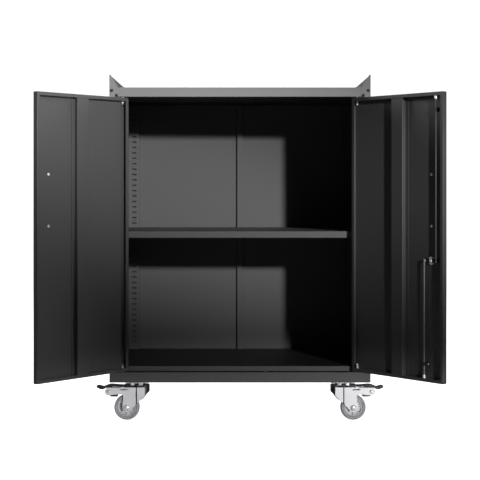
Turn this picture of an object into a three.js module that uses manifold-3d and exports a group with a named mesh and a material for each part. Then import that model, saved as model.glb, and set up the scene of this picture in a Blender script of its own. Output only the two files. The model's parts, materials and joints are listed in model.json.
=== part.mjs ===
// Rolling tool chest: a folded-steel cabinet with two pivoting doors, one adjustable shelf, a top
// tray between two side guards, a rod lock on the right door and four swivel casters.
// Millimetres. +X is the chest's right, +Y its back, +Z up. The doors are modelled open.

import * as THREE from 'three';
import { mergeVertices } from 'three/addons/utils/BufferGeometryUtils.js';
import Module from 'manifold-3d';

const wasm = await Module();
wasm.setup();

// ---- driving dimensions ----

const width = 762; // over the side panels
const depth = 457; // front of the posts to the back
const openingHeight = 802.2; // base frame to underside of the tray
const sheet = 1.2; // steel thickness
const seat = 0.3; // gap left between pieces that touch
const holeClearance = 0.6; // radial, round a pin or bolt

const baseHeight = 31; // base frame
const baseFlange = 96; // inward flange that the casters bolt to
const floorHeight = 15; // cabinet floor above the base frame

const trayHeight = 27.7; // front lip of the tray
const trayRim = 20; // width of the folded rim, front and back
const trayFloorDrop = 15.4; // rim top down to the tray floor
const trayFlange = 24; // return under the rim
const guardRise = 36.5; // side guard above the tray rim
const guardFlangeLow = 29; // guard's front flange at its foot
const guardFlangeHigh = 21; // and level with the rim
const guardFlangeTip = 3; // and at the top

const postWidth = 22.6; // front post of the side panel
const postReturn = 15; // jamb depth
const rearFlange = 20; // side panel's rear flange
const seamWidth = 19.6; // channel over the joint of the back panels
const seamDepth = 8;

const doorThickness = 16;
const doorLip = 10; // fold round the inside of the door
const doorTopGap = 2.2;
const doorBottomGap = 1.6;
const meetingGap = 3; // between the closed doors
const edgeToPivot = 12; // hinge edge of the door to the pin
const postGap = 4; // hinge edge of the door to the post
const pivotSetback = 6; // pin behind the front of the posts
const pivotToFace = 5; // pin to the door's outer face
const openAngle = 129.7; // degrees from closed, as modelled

const stiffenerNear = 145; // pin to the stiffener's near wall
const stiffenerWidth = 44;
const stiffenerFlange = 12;

const pinRadius = 2.5;
const pinInside = 22; // length of hinge pin inside the door
const pinReach = 6; // and beyond the plate it turns in
const knobRadius = 3.2;
const knobLength = 9;

const handleAlong = 286; // pin to the handle
const handleAbove = 502.5; // handle centre above the base frame
const handleSpacing = 143; // between the handle's feet
const handleFoot = 14;
const handleWidth = 12;
const handleBar = 8;
const handleReach = 34;
const handleChamfer = 8;

const lockAlong = 288.5; // pin to the lock's axis
const lockAbove = 336; // lock axis above the base frame
const lockRadius = 8.5;
const bezelRadius = 11;
const bezelDepth = 3.2;
const camRadius = 21.5; // lock axis to each rod
const camHalfWidth = 6;
const camThickness = 1.8;
const camSkinGap = 4.4; // door skin to the cam
const camScrewRadius = 5;
const camScrewHeight = 2.6;
const rodRadius = 2.2;
const rodGap = 0.4; // cam to rod
const rodPastCam = 5; // rod's end beyond the lock axis
const tipRadius = 4.5;
const tipLength = 18;
const tipInset = 0.4; // rod tip inside the door's edge

const uprightWidth = 52;
const uprightReturn = 13.2;
const uprightInset = 14; // rear upright's face ahead of the back panel
const doorClear = 24; // front of the posts to whatever stands behind the doors
const slotWidth = 13.6;
const slotHeight = 3;
const slotPitch = 17.5;
const slotFromEdge = 15.6; // slot centre to the upright's inner edge
const slotStart = 38; // first slot above the base frame
const slotEndMargin = 20;
const screwHoleRadius = 1.5;
const screwHoleEvery = 5; // one screw hole for so many slots

const shelfLip = 20.5;
const shelfReturn = 12;
const shelfSlot = 20; // slot that the shelf's clips sit in
const shelfSideGap = 3;
const shelfEndGap = 1.5;
const clipWidth = 10;
const clipLedge = 14;
const clipThickness = 1.8;
const clipTab = 5; // tab behind the slot
const clipDrop = 14; // plate below the ledge

const wheelDiameter = 75;
const tyreWidth = 24;
const tyreThickness = 10.5;
const tyreShoulder = 5;
const tyreCrown = 1; // the tread's middle stands proud of its edges
const tyreLip = 3; // chamfer where the tyre grips the hub
const hubWidth = 20;
const hubWeb = 9;
const hubRim = 3;
const hubBossRadius = 12;
const axleRadius = 5;
const axleHeadRadius = 9;
const axleHeadHeight = 4;
const headChamfer = 2;
const forkSheet = 2.5;
const forkSideGap = 4; // tyre to fork leg
const forkTopGap = 22.5; // tyre to fork top
const casterTrail = 31; // swivel axis to axle
const casterNose = 36.3; // swivel axis to the fork's closed end
const noseDrop = 12.5;
const bossRadius = 12.6;
const forkTail = 33; // swivel axis to the end of the fork's top
const armDrop = 21; // underside of the brake arm below the fork top
const racewayRadius = 24;
const racewayHeight = 10;
const racewayGap = 0.6;
const kingpinRadius = 5;
const kingpinHead = 8;
const kingpinHeadHeight = 3;
const plateLength = 66;
const plateWidth = 84;
const plateThickness = 2.6;
const plateBossRadius = 20;
const plateBossHeight = 5.5;
const casterInsetX = 78; // side of the chest to the swivel axis
const casterInsetY = 55; // front or back of the chest to the swivel axis

const brakePivotGap = 15.5; // tyre to the pedal's pivot, level
const brakePivotDrop = 12.4; // pivot below the fork top
const brakeHubRadius = 11.4;
const brakePinRadius = 3;
const pedalWidth = 30;
const pedalReach = 36; // pivot to the toe
const pedalGap = 1; // pedal above the fork top
const pedalHump = 7; // highest point above the fork top
const pedalTread = 4; // thickness where the foot presses
const pedalDip = 14; // pivot to the dip behind the toe
const pedalDipDepth = 7; // underside of the dip below the fork top
const pedalStem = 9; // half the stem that turns on the pivot
const shoeReach = 27; // pivot to the end of the brake shoe
const shoeThickness = 4;
const shoeDrop = 7; // shoe below the arm

// ---- places worked out from them ----

const halfWidth = width / 2;
const wheelRadius = wheelDiameter / 2;
const forkTop = wheelDiameter + forkTopGap;
const raceTop = forkTop + racewayHeight;
const plateBottom = raceTop + racewayGap + plateBossHeight;
const casterHeight = plateBottom + plateThickness;
const baseBottom = casterHeight + seat;
const baseTop = baseBottom + baseHeight;
const floorTop = baseTop + floorHeight;
const trayBottom = baseTop + openingHeight;
const trayTop = trayBottom + trayHeight;
const trayFloor = trayTop - trayFloorDrop;
const guardTop = trayTop + guardRise;
const guardDepth = sheet + seat; // guard flange ahead of the tray lip

const hingeX = halfWidth - postWidth - postGap - edgeToPivot;
const doorBottom = baseTop + doorBottomGap;
const doorTop = trayBottom - doorTopGap;
const doorFree = hingeX - meetingGap / 2; // pin to the door's free edge
const faceOut = -pivotToFace;
const faceIn = doorThickness - pivotToFace;
const skinIn = faceOut + sheet;

const handleZ = baseTop + handleAbove;
const lockZ = baseTop + lockAbove;
const camNear = skinIn + camSkinGap;
const camFar = camNear + camThickness;
const rodDepth = camFar + rodGap + rodRadius;
const lowerRodAlong = lockAlong - camRadius;
const upperRodAlong = lockAlong + camRadius;

const backFront = depth - 2 * sheet - seat; // back panels' inner face
const wallInside = halfWidth - sheet - seat;
const rearFace = backFront - uprightInset;
const frontFace = doorClear + uprightReturn;
const slotX = wallInside - uprightWidth + slotFromEdge;
const slotFirst = baseTop + slotStart;
const uprightBottom = floorTop + seat;
const uprightTop = trayBottom - seat;
const slotCount = Math.floor((uprightTop - slotEndMargin - slotFirst) / slotPitch) + 1;
const clipTop = slotFirst + shelfSlot * slotPitch + clipThickness / 2;
const shelfBottom = clipTop + seat;
const shelfTop = shelfBottom + shelfLip;

// ---- finishes ----

const finish = (color, roughness, metalness) =>
  new THREE.MeshStandardMaterial({ color, roughness, metalness });

const blackPaint = finish(0x232323, 0.5, 0.2);
const greyPaint = finish(0x6a6a6a, 0.45, 0.3);
const zinc = finish(0xb9bbbe, 0.35, 0.9);
const pressedSteel = finish(0xc4c5c7, 0.4, 0.8);
const greyRubber = finish(0x8a8a8d, 0.7, 0);
const greyPlastic = finish(0xa6a6aa, 0.5, 0);
const blackPlastic = finish(0x1a1a1a, 0.5, 0);

// ---- geometry helpers ----

const alongX = new THREE.Matrix4().makeBasis(
  new THREE.Vector3(0, 1, 0),
  new THREE.Vector3(0, 0, 1),
  new THREE.Vector3(1, 0, 0),
);
const alongY = new THREE.Matrix4().makeBasis(
  new THREE.Vector3(1, 0, 0),
  new THREE.Vector3(0, 0, 1),
  new THREE.Vector3(0, -1, 0),
);

function outline(points) {
  return new THREE.Shape(points.map(([x, y]) => new THREE.Vector2(x, y)));
}

function block(x0, x1, y0, y1, z0, z1) {
  const geometry = new THREE.BoxGeometry(Math.abs(x1 - x0), y1 - y0, z1 - z0);
  return geometry.translate((x0 + x1) / 2, (y0 + y1) / 2, (z0 + z1) / 2);
}

function prismZ(shape, z0, z1, curveSegments = 6) {
  const options = { depth: z1 - z0, bevelEnabled: false, curveSegments };
  return new THREE.ExtrudeGeometry(shape, options).translate(0, 0, z0);
}

// The shape is drawn in Y and Z.
function prismX(shape, x0, x1) {
  const options = { depth: x1 - x0, bevelEnabled: false };
  return new THREE.ExtrudeGeometry(shape, options).applyMatrix4(alongX).translate(x0, 0, 0);
}

// The shape is drawn in X and Z.
function prismY(shape, y0, y1, curveSegments = 6) {
  const options = { depth: y1 - y0, bevelEnabled: false, curveSegments };
  return new THREE.ExtrudeGeometry(shape, options).applyMatrix4(alongY).translate(0, y1, 0);
}

function rod(radius, z0, z1, x = 0, y = 0, segments = 12) {
  const geometry = new THREE.CylinderGeometry(radius, radius, z1 - z0, segments);
  return geometry.rotateX(Math.PI / 2).translate(x, y, (z0 + z1) / 2);
}

function rodY(radius, y0, y1, x = 0, z = 0, segments = 12) {
  const geometry = new THREE.CylinderGeometry(radius, radius, y1 - y0, segments);
  return geometry.translate(x, (y0 + y1) / 2, z);
}

function turned(points, segments) {
  return new THREE.LatheGeometry(points.map(([r, y]) => new THREE.Vector2(r, y)), segments);
}

// A bent sheet: the line is its outer face, and its thickness lies to the right of travel.
function foldedSheet(line, thickness) {
  const normals = line.slice(1).map(([x, y], i) => {
    const [x0, y0] = line[i];
    const length = Math.hypot(x - x0, y - y0);
    return [(y - y0) / length, (x0 - x) / length];
  });
  const inner = line.map(([x, y], i) => {
    const a = normals[Math.max(i - 1, 0)];
    const b = normals[Math.min(i, normals.length - 1)];
    const spread = 1 + a[0] * b[0] + a[1] * b[1];
    const scale = thickness / spread;
    return [x + (a[0] + b[0]) * scale, y + (a[1] + b[1]) * scale];
  });
  return outline([...line, ...inner.reverse()]);
}

function solid(geometry) {
  const bare = geometry.clone();
  bare.deleteAttribute('normal');
  bare.deleteAttribute('uv');
  const merged = mergeVertices(bare, 1e-4);
  const mesh = new wasm.Mesh({
    numProp: 3,
    vertProperties: new Float32Array(merged.attributes.position.array),
    triVerts: new Uint32Array(merged.index.array),
  });
  return new wasm.Manifold(mesh);
}

function shaped(base, added, cut) {
  let body = solid(base);
  for (const piece of added) body = body.add(solid(piece));
  for (const piece of cut) body = body.subtract(solid(piece));
  const result = body.getMesh();
  const geometry = new THREE.BufferGeometry();
  const vertices = new Float32Array(result.vertProperties);
  geometry.setAttribute('position', new THREE.BufferAttribute(vertices, 3));
  geometry.setIndex(new THREE.BufferAttribute(new Uint32Array(result.triVerts), 1));
  geometry.computeVertexNormals();
  return geometry;
}

function piece(parent, name, geometry, material) {
  const mesh = new THREE.Mesh(geometry, material);
  mesh.name = name;
  parent.add(mesh);
}

const sides = [
  { label: 'left', sign: -1 },
  { label: 'right', sign: 1 },
];

// ---- cabinet ----

// A hole in the base or tray that lines up with a point of a closed door.
function doorwayHole(sign, along, inward, radius, z0, z1) {
  return rod(radius, z0, z1, sign * (hingeX - along), pivotSetback + inward);
}

function hingePinHoles(z0, z1) {
  return sides.map(({ sign }) => doorwayHole(sign, 0, 0, pinRadius + holeClearance, z0, z1));
}

function baseFrame() {
  const outer = block(-halfWidth, halfWidth, 0, depth, baseBottom, baseTop);
  const hollow = block(
    sheet - halfWidth, halfWidth - sheet, sheet, depth - sheet, baseBottom + sheet, baseTop - sheet,
  );
  const mouth = block(
    baseFlange - halfWidth, halfWidth - baseFlange, baseFlange, depth - baseFlange,
    baseBottom - sheet, baseBottom + 2 * sheet,
  );
  const z0 = baseTop - 2 * sheet;
  const z1 = baseTop + sheet;
  const rodHole = doorwayHole(1, lowerRodAlong, rodDepth, tipRadius + holeClearance, z0, z1);
  return shaped(outer, [], [hollow, mouth, ...hingePinHoles(z0, z1), rodHole]);
}

function floorPanel() {
  const rear = backFront - seat;
  const foot = baseTop + seat;
  const line = [[doorClear, foot], [doorClear, floorTop], [rear, floorTop], [rear, foot]];
  return prismX(foldedSheet(line, sheet), -wallInside, wallInside);
}

function sidePanel(sign) {
  const jamb = halfWidth - postWidth;
  const line = [
    [sign * jamb, postReturn],
    [sign * jamb, 0],
    [sign * halfWidth, 0],
    [sign * halfWidth, depth],
    [sign * (halfWidth - rearFlange), depth],
  ];
  const travel = sign < 0 ? line : line.reverse();
  return prismZ(foldedSheet(travel, sheet), baseTop + seat, trayBottom - seat);
}

function backPanel(sign) {
  const bottom = baseTop + seat;
  return block(sign * seat, sign * wallInside, backFront, backFront + sheet, bottom, uprightTop);
}

function backSeamChannel() {
  const half = seamWidth / 2;
  const rear = backFront - seat;
  const front = rear - seamDepth;
  const line = [[-half, rear], [-half, front], [half, front], [half, rear]];
  return prismZ(foldedSheet(line.reverse(), sheet), uprightBottom, uprightTop);
}

// A slotted upright. facing is 1 when its plate looks to the back, -1 to the front.
function shelfUpright(sign, facing) {
  const inner = wallInside - uprightWidth;
  const face = facing > 0 ? frontFace : rearFace;
  const [near, far] = [face, face - facing * sheet].sort((a, b) => a - b);
  const [foldNear, foldFar] = [face, face - facing * uprightReturn].sort((a, b) => a - b);
  const plate = block(sign * inner, sign * wallInside, near, far, uprightBottom, uprightTop);
  const fold = block(
    sign * inner, sign * (inner + sheet), foldNear, foldFar, uprightBottom, uprightTop,
  );
  const cuts = [];
  for (let i = 0; i < slotCount; i += 1) {
    const z = slotFirst + i * slotPitch;
    const [left, right] = [sign * slotX - slotWidth / 2, sign * slotX + slotWidth / 2];
    cuts.push(block(left, right, near - 1, far + 1, z - slotHeight / 2, z + slotHeight / 2));
    if (i % screwHoleEvery === 2 && i + 1 < slotCount) {
      cuts.push(rodY(screwHoleRadius, near - 1, far + 1, sign * slotX, z + slotPitch / 2, 6));
    }
  }
  return shaped(plate, [fold], cuts);
}

function shelf() {
  const front = frontFace + shelfEndGap;
  const rear = rearFace - shelfEndGap;
  const side = wallInside - shelfSideGap;
  const outer = block(-side, side, front, rear, shelfBottom, shelfTop);
  const under = block(
    sheet - side, side - sheet, front + sheet, rear - sheet, shelfBottom + sheet, shelfTop - sheet,
  );
  const mouth = block(
    shelfReturn - side, side - shelfReturn, front + shelfReturn, rear - shelfReturn,
    shelfBottom - sheet, shelfBottom + 2 * sheet,
  );
  return shaped(outer, [], [under, mouth]);
}

// A bent clip: ledge under the shelf, tab through the slot, plate down the upright's face.
function shelfClip(sign, facing) {
  const face = facing > 0 ? frontFace : rearFace;
  const y = (offset) => face + facing * offset;
  const ledgeLow = clipTop - clipThickness;
  const shape = outline([
    [y(clipLedge), clipTop],
    [y(-sheet - clipTab), clipTop],
    [y(-sheet - clipTab), ledgeLow],
    [y(seat), ledgeLow],
    [y(seat), clipTop - clipDrop],
    [y(seat + clipThickness), clipTop - clipDrop],
    [y(seat + clipThickness), ledgeLow],
    [y(clipLedge), ledgeLow],
  ]);
  const x = sign * slotX;
  return prismX(shape, x - clipWidth / 2, x + clipWidth / 2);
}

function topTray() {
  const rear = depth;
  const line = [
    [trayFlange, trayBottom],
    [0, trayBottom],
    [0, trayTop],
    [trayRim, trayTop],
    [trayRim, trayFloor],
    [rear - trayRim, trayFloor],
    [rear - trayRim, trayTop],
    [rear, trayTop],
    [rear, trayBottom],
    [rear - trayFlange, trayBottom],
  ];
  const pan = prismX(foldedSheet(line, sheet), -wallInside, wallInside);
  const z0 = trayBottom - sheet;
  const z1 = trayBottom + 2 * sheet;
  const rodHole = doorwayHole(1, upperRodAlong, rodDepth, tipRadius + holeClearance, z0, z1);
  return shaped(pan, [], [...hingePinHoles(z0, z1), rodHole]);
}

function sideGuard(sign) {
  const foot = trayBottom + seat;
  const spare = 2;
  const [front, rear] = [-guardDepth, depth + guardDepth];
  const x = (inward) => sign * (halfWidth - inward);
  const line = [
    [x(guardFlangeLow + spare), front],
    [x(0), front],
    [x(0), rear],
    [x(guardFlangeLow + spare), rear],
  ];
  const travel = sign < 0 ? line : line.reverse();
  const wall = prismZ(foldedSheet(travel, sheet), foot, guardTop);
  const waste = outline([
    [x(guardFlangeLow), foot - spare],
    [x(guardFlangeLow), foot],
    [x(guardFlangeHigh), trayTop],
    [x(guardFlangeTip), guardTop + spare],
    [x(guardFlangeLow + 2 * spare), guardTop + spare],
    [x(guardFlangeLow + 2 * spare), foot - spare],
  ]);
  return shaped(wall, [], [prismY(waste, front - spare, rear + spare)]);
}

function makeCabinet(parent) {
  piece(parent, 'base_frame', baseFrame(), blackPaint);
  piece(parent, 'floor_panel', floorPanel(), blackPaint);
  piece(parent, 'back_seam_channel', backSeamChannel(), blackPaint);
  piece(parent, 'shelf', shelf(), blackPaint);
  piece(parent, 'top_tray', topTray(), greyPaint);
  for (const { label, sign } of sides) {
    piece(parent, `side_panel_${label}`, sidePanel(sign), blackPaint);
    piece(parent, `back_panel_${label}`, backPanel(sign), blackPaint);
    piece(parent, `side_guard_${label}`, sideGuard(sign), greyPaint);
    for (const [end, facing] of [['front', 1], ['rear', -1]]) {
      piece(parent, `upright_${end}_${label}`, shelfUpright(sign, facing), blackPaint);
      piece(parent, `shelf_clip_${end}_${label}`, shelfClip(sign, facing), zinc);
    }
  }
}

// ---- doors: drawn closed about their pin, then turned open ----

function doorPanel(sign) {
  const x = (along) => -sign * along;
  const outer = block(x(-edgeToPivot), x(doorFree), faceOut, faceIn, doorBottom, doorTop);
  const hollow = block(
    x(sheet - edgeToPivot), x(doorFree - sheet), skinIn, faceIn - sheet,
    doorBottom + sheet, doorTop - sheet,
  );
  const mouth = block(
    x(doorLip - edgeToPivot), x(doorFree - doorLip), faceIn - 2 * sheet, faceIn + sheet,
    doorBottom + doorLip, doorTop - doorLip,
  );
  const pinHole = rod(pinRadius + holeClearance, doorBottom - sheet, doorTop + sheet);
  const cuts = [hollow, mouth, pinHole];
  if (sign > 0) {
    const tipHole = tipRadius + holeClearance;
    cuts.push(rod(tipHole, doorBottom - sheet, doorBottom + 2 * sheet, x(lowerRodAlong), rodDepth));
    cuts.push(rod(tipHole, doorTop - 2 * sheet, doorTop + sheet, x(upperRodAlong), rodDepth));
    const lockHole = lockRadius + holeClearance;
    cuts.push(rodY(lockHole, faceOut - sheet, skinIn + sheet, x(lockAlong), lockZ, 20));
  }
  return shaped(outer, [], cuts);
}

function doorStiffener(sign) {
  const low = skinIn + seat + sheet;
  const high = faceIn - sheet - seat;
  const far = stiffenerNear + stiffenerWidth;
  const line = [
    [stiffenerNear - stiffenerFlange, low],
    [stiffenerNear, low],
    [stiffenerNear, high],
    [far, high],
    [far, low],
    [far + stiffenerFlange, low],
  ].map(([along, y]) => [-sign * along, y]);
  const travel = sign < 0 ? line : line.reverse();
  const bottom = doorBottom + sheet + seat;
  return prismZ(foldedSheet(travel, sheet), bottom, doorTop - sheet - seat);
}

// A hinge pin with the short knob that draws it back. end is 1 at the top of the door, -1 below.
function hingePin(end) {
  const [doorEdge, plate] = end > 0 ? [doorTop, trayBottom] : [doorBottom, baseTop];
  const inside = doorEdge - end * pinInside;
  const tip = plate + end * pinReach;
  const shank = rod(pinRadius, Math.min(inside, tip), Math.max(inside, tip));
  const knobZ = inside + end * knobRadius;
  return shaped(shank, [rodY(knobRadius, 0, knobLength, 0, knobZ)], []);
}

function handle(sign) {
  const half = handleSpacing / 2 + handleFoot / 2;
  const foot = faceOut - seat;
  const far = foot - handleReach;
  const near = far + handleBar;
  const inner = half - handleFoot;
  const cornerIn = handleChamfer / 2;
  const shape = outline([
    [foot, handleZ - half],
    [far + handleChamfer, handleZ - half],
    [far, handleZ - half + handleChamfer],
    [far, handleZ + half - handleChamfer],
    [far + handleChamfer, handleZ + half],
    [foot, handleZ + half],
    [foot, handleZ + inner],
    [near + cornerIn, handleZ + inner],
    [near, handleZ + inner - cornerIn],
    [near, handleZ - inner + cornerIn],
    [near + cornerIn, handleZ - inner],
    [foot, handleZ - inner],
  ]);
  const x = -sign * handleAlong;
  return prismX(shape, x - handleWidth / 2, x + handleWidth / 2);
}

function lockCylinder() {
  const bezelBack = faceOut - seat;
  const points = [
    [0, bezelBack - bezelDepth],
    [bezelRadius - 1, bezelBack - bezelDepth],
    [bezelRadius, bezelBack - bezelDepth + 1],
    [bezelRadius, bezelBack],
    [lockRadius, bezelBack],
    [lockRadius, skinIn + seat],
    [bezelRadius, skinIn + seat],
    [bezelRadius, camNear - seat],
    [0, camNear - seat],
  ];
  return turned(points, 12).translate(-lockAlong, 0, lockZ);
}

function lockCam() {
  const bar = new THREE.Shape();
  bar.absarc(-lockAlong - camRadius, lockZ, camHalfWidth, Math.PI / 2, -Math.PI / 2, false);
  bar.absarc(-lockAlong + camRadius, lockZ, camHalfWidth, -Math.PI / 2, Math.PI / 2, false);
  const screw = rodY(camScrewRadius, camNear, camFar + camScrewHeight, -lockAlong, lockZ);
  return shaped(prismY(bar, camNear, camFar), [screw], []);
}

function lockRod(along, end) {
  const edge = end > 0 ? doorTop - tipInset : doorBottom + tipInset;
  const tipEnd = edge - end * tipLength;
  const start = lockZ - end * rodPastCam;
  const bar = rod(rodRadius, Math.min(start, edge), Math.max(start, edge), -along, rodDepth, 8);
  const tip = rod(tipRadius, Math.min(tipEnd, edge), Math.max(tipEnd, edge), -along, rodDepth);
  return shaped(bar, [tip], []);
}

function makeDoor(parent, label, sign) {
  const leaf = new THREE.Group();
  leaf.position.set(sign * hingeX, pivotSetback, 0);
  leaf.rotation.z = sign * THREE.MathUtils.degToRad(openAngle);
  parent.add(leaf);
  piece(leaf, `door_panel_${label}`, doorPanel(sign), blackPaint);
  piece(leaf, `door_stiffener_${label}`, doorStiffener(sign), blackPaint);
  piece(leaf, `door_handle_${label}`, handle(sign), blackPaint);
  piece(leaf, `hinge_pin_upper_${label}`, hingePin(1), zinc);
  piece(leaf, `hinge_pin_lower_${label}`, hingePin(-1), zinc);
  if (sign > 0) {
    piece(leaf, 'lock_cylinder', lockCylinder(), zinc);
    piece(leaf, 'lock_cam', lockCam(), zinc);
    piece(leaf, 'lock_rod_upper', lockRod(upperRodAlong, 1), zinc);
    piece(leaf, 'lock_rod_lower', lockRod(lowerRodAlong, -1), zinc);
  }
}

// ---- casters: drawn about the swivel axis with the wheel trailing towards +X ----

const legInside = tyreWidth / 2 + forkSideGap;
const legOutside = legInside + forkSheet;
const brakePivot = [casterTrail + wheelRadius + brakePivotGap, forkTop - brakePivotDrop];

function forkLeg(braked) {
  const axle = [casterTrail, wheelRadius];
  const corner = [-casterNose, forkTop - noseDrop];
  const [dx, dz] = [corner[0] - axle[0], corner[1] - axle[1]];
  const touch = Math.atan2(dz, dx) + Math.acos(bossRadius / Math.hypot(dx, dz));
  const shape = new THREE.Shape();
  shape.moveTo(-casterNose, forkTop);
  shape.lineTo(...corner);
  shape.absarc(axle[0], axle[1], bossRadius, touch, 2 * Math.PI, false);
  const armLow = forkTop - armDrop;
  const legEdge = casterTrail + bossRadius - 2;
  shape.lineTo(legEdge, armLow - 10);
  if (braked) {
    shape.quadraticCurveTo(legEdge, armLow, legEdge + 8, armLow);
    shape.lineTo(brakePivot[0] - 4, armLow);
    shape.absarc(...brakePivot, brakeHubRadius, -Math.PI / 2, Math.PI / 2, false);
  } else {
    shape.lineTo(legEdge, forkTop - noseDrop);
    shape.lineTo(forkTail, forkTop);
  }
  return shape;
}

function casterFork(braked) {
  const leg = forkLeg(braked);
  const far = prismY(leg, legInside, legOutside, 5);
  const near = prismY(leg, -legOutside, -legInside, 5);
  const crown = block(
    -casterNose, forkTail - noseDrop, -legOutside, legOutside, forkTop - forkSheet, forkTop,
  );
  const nose = block(
    -casterNose, forkSheet - casterNose, -legOutside, legOutside, forkTop - noseDrop, forkTop,
  );
  const race = rod(racewayRadius, forkTop - forkSheet, raceTop, 0, 0, 16);
  const clear = legOutside + forkSheet;
  const holes = [
    rod(kingpinRadius + holeClearance, forkTop - 2 * forkSheet, raceTop + forkSheet, 0, 0, 16),
    rodY(axleRadius + holeClearance, -clear, clear, casterTrail, wheelRadius, 16),
  ];
  if (braked) holes.push(rodY(brakePinRadius + holeClearance, -clear, clear, ...brakePivot));
  return shaped(crown, [nose, far, near, race], holes);
}

function casterPlate() {
  const plate = block(
    -plateLength / 2, plateLength / 2, -plateWidth / 2, plateWidth / 2, plateBottom, casterHeight,
  );
  const headTop = forkTop - forkSheet - seat;
  const boss = rod(plateBossRadius, raceTop + racewayGap, casterHeight, 0, 0, 20);
  const pin = rod(kingpinRadius, headTop - forkSheet, casterHeight, 0, 0, 16);
  const head = rod(kingpinHead, headTop - kingpinHeadHeight, headTop, 0, 0, 16);
  return shaped(plate, [boss, pin, head], []);
}

function tyre() {
  const inner = wheelRadius - tyreThickness;
  const half = tyreWidth / 2;
  const points = [
    [inner, tyreLip - half],
    [inner + tyreLip, -half],
    [wheelRadius - tyreShoulder, -half],
    [wheelRadius - tyreCrown, tyreShoulder - half],
    [wheelRadius, 0],
    [wheelRadius - tyreCrown, half - tyreShoulder],
    [wheelRadius - tyreShoulder, half],
    [inner + tyreLip, half],
    [inner, half - tyreLip],
    [inner, tyreLip - half],
  ];
  return turned(points, 24).translate(casterTrail, 0, wheelRadius);
}

function wheelHub() {
  const rim = wheelRadius - tyreThickness - seat;
  const bore = axleRadius + holeClearance;
  const boss = legInside - 1;
  const half = hubWidth / 2;
  const points = [
    [bore, -boss],
    [hubBossRadius, -boss],
    [hubBossRadius, -hubWeb / 2],
    [rim - hubRim, -hubWeb / 2],
    [rim - hubRim, -half],
    [rim, -half],
    [rim, half],
    [rim - hubRim, half],
    [rim - hubRim, hubWeb / 2],
    [hubBossRadius, hubWeb / 2],
    [hubBossRadius, boss],
    [bore, boss],
    [bore, -boss],
  ];
  return turned(points, 16).translate(casterTrail, 0, wheelRadius);
}

function axleBolt() {
  const inside = legOutside + seat;
  const outside = inside + axleHeadHeight;
  const points = [
    [0, -outside],
    [axleHeadRadius - headChamfer, -outside],
    [axleHeadRadius, headChamfer - outside],
    [axleHeadRadius, -inside],
    [axleRadius, -inside],
    [axleRadius, inside],
    [axleHeadRadius, inside],
    [axleHeadRadius, outside - headChamfer],
    [axleHeadRadius - headChamfer, outside],
    [0, outside],
  ];
  return turned(points, 12).translate(casterTrail, 0, wheelRadius);
}

function brakePedal() {
  const [px, pz] = brakePivot;
  const top = forkTop;
  const start = forkTail + pedalDip / 2;
  const toe = px + pedalReach;
  const shoeLow = top - armDrop - shoeDrop;
  const shape = outline([
    [start, top + pedalGap],
    [start, top + pedalGap + pedalTread],
    [px - pedalStem, top + pedalHump],
    [px, top + pedalHump],
    [px + pedalDip, top + pedalGap],
    [toe - pedalStem, top + pedalGap + pedalTread],
    [toe, top + pedalGap],
    [toe, top - pedalTread],
    [px + pedalDip, top - pedalDipDepth],
    [px + pedalStem, pz],
    [px + pedalStem / 2, pz - pedalStem],
    [px - pedalStem / 2, shoeLow],
    [px - shoeReach, shoeLow],
    [px - shoeReach, shoeLow + shoeThickness],
    [px - pedalStem, shoeLow + shoeThickness],
    [px - pedalStem, pz],
    [px - pedalStem, top + pedalGap],
  ]);
  const half = pedalWidth / 2;
  const pin = rodY(brakePinRadius, -legOutside - 1, legOutside + 1, px, pz, 10);
  return shaped(prismY(shape, -half, half), [pin], []);
}

function makeCaster(parent, label, sign, y, braked) {
  const swivel = new THREE.Group();
  swivel.position.set(sign * (halfWidth - casterInsetX), y, 0);
  swivel.rotation.z = sign > 0 ? 0 : Math.PI;
  parent.add(swivel);
  piece(swivel, `caster_plate_${label}`, casterPlate(), pressedSteel);
  piece(swivel, `caster_fork_${label}`, casterFork(braked), pressedSteel);
  piece(swivel, `caster_tyre_${label}`, tyre(), greyRubber);
  piece(swivel, `caster_hub_${label}`, wheelHub(), greyPlastic);
  piece(swivel, `caster_axle_${label}`, axleBolt(), zinc);
  if (braked) piece(swivel, `caster_brake_${label}`, brakePedal(), blackPlastic);
}

// ---- the chest ----

const chest = new THREE.Group();
makeCabinet(chest);
for (const { label, sign } of sides) {
  makeDoor(chest, label, sign);
  makeCaster(chest, `front_${label}`, sign, casterInsetY, true);
  makeCaster(chest, `rear_${label}`, sign, depth - casterInsetY, false);
}

// The origin is on the floor under the middle of the whole chest, doors open.
const bounds = new THREE.Box3().setFromObject(chest, true);
chest.position.y = -(bounds.min.y + bounds.max.y) / 2;

export default chest;
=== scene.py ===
import json
import math

import bmesh
import bpy
from mathutils import Matrix, Vector


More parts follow.
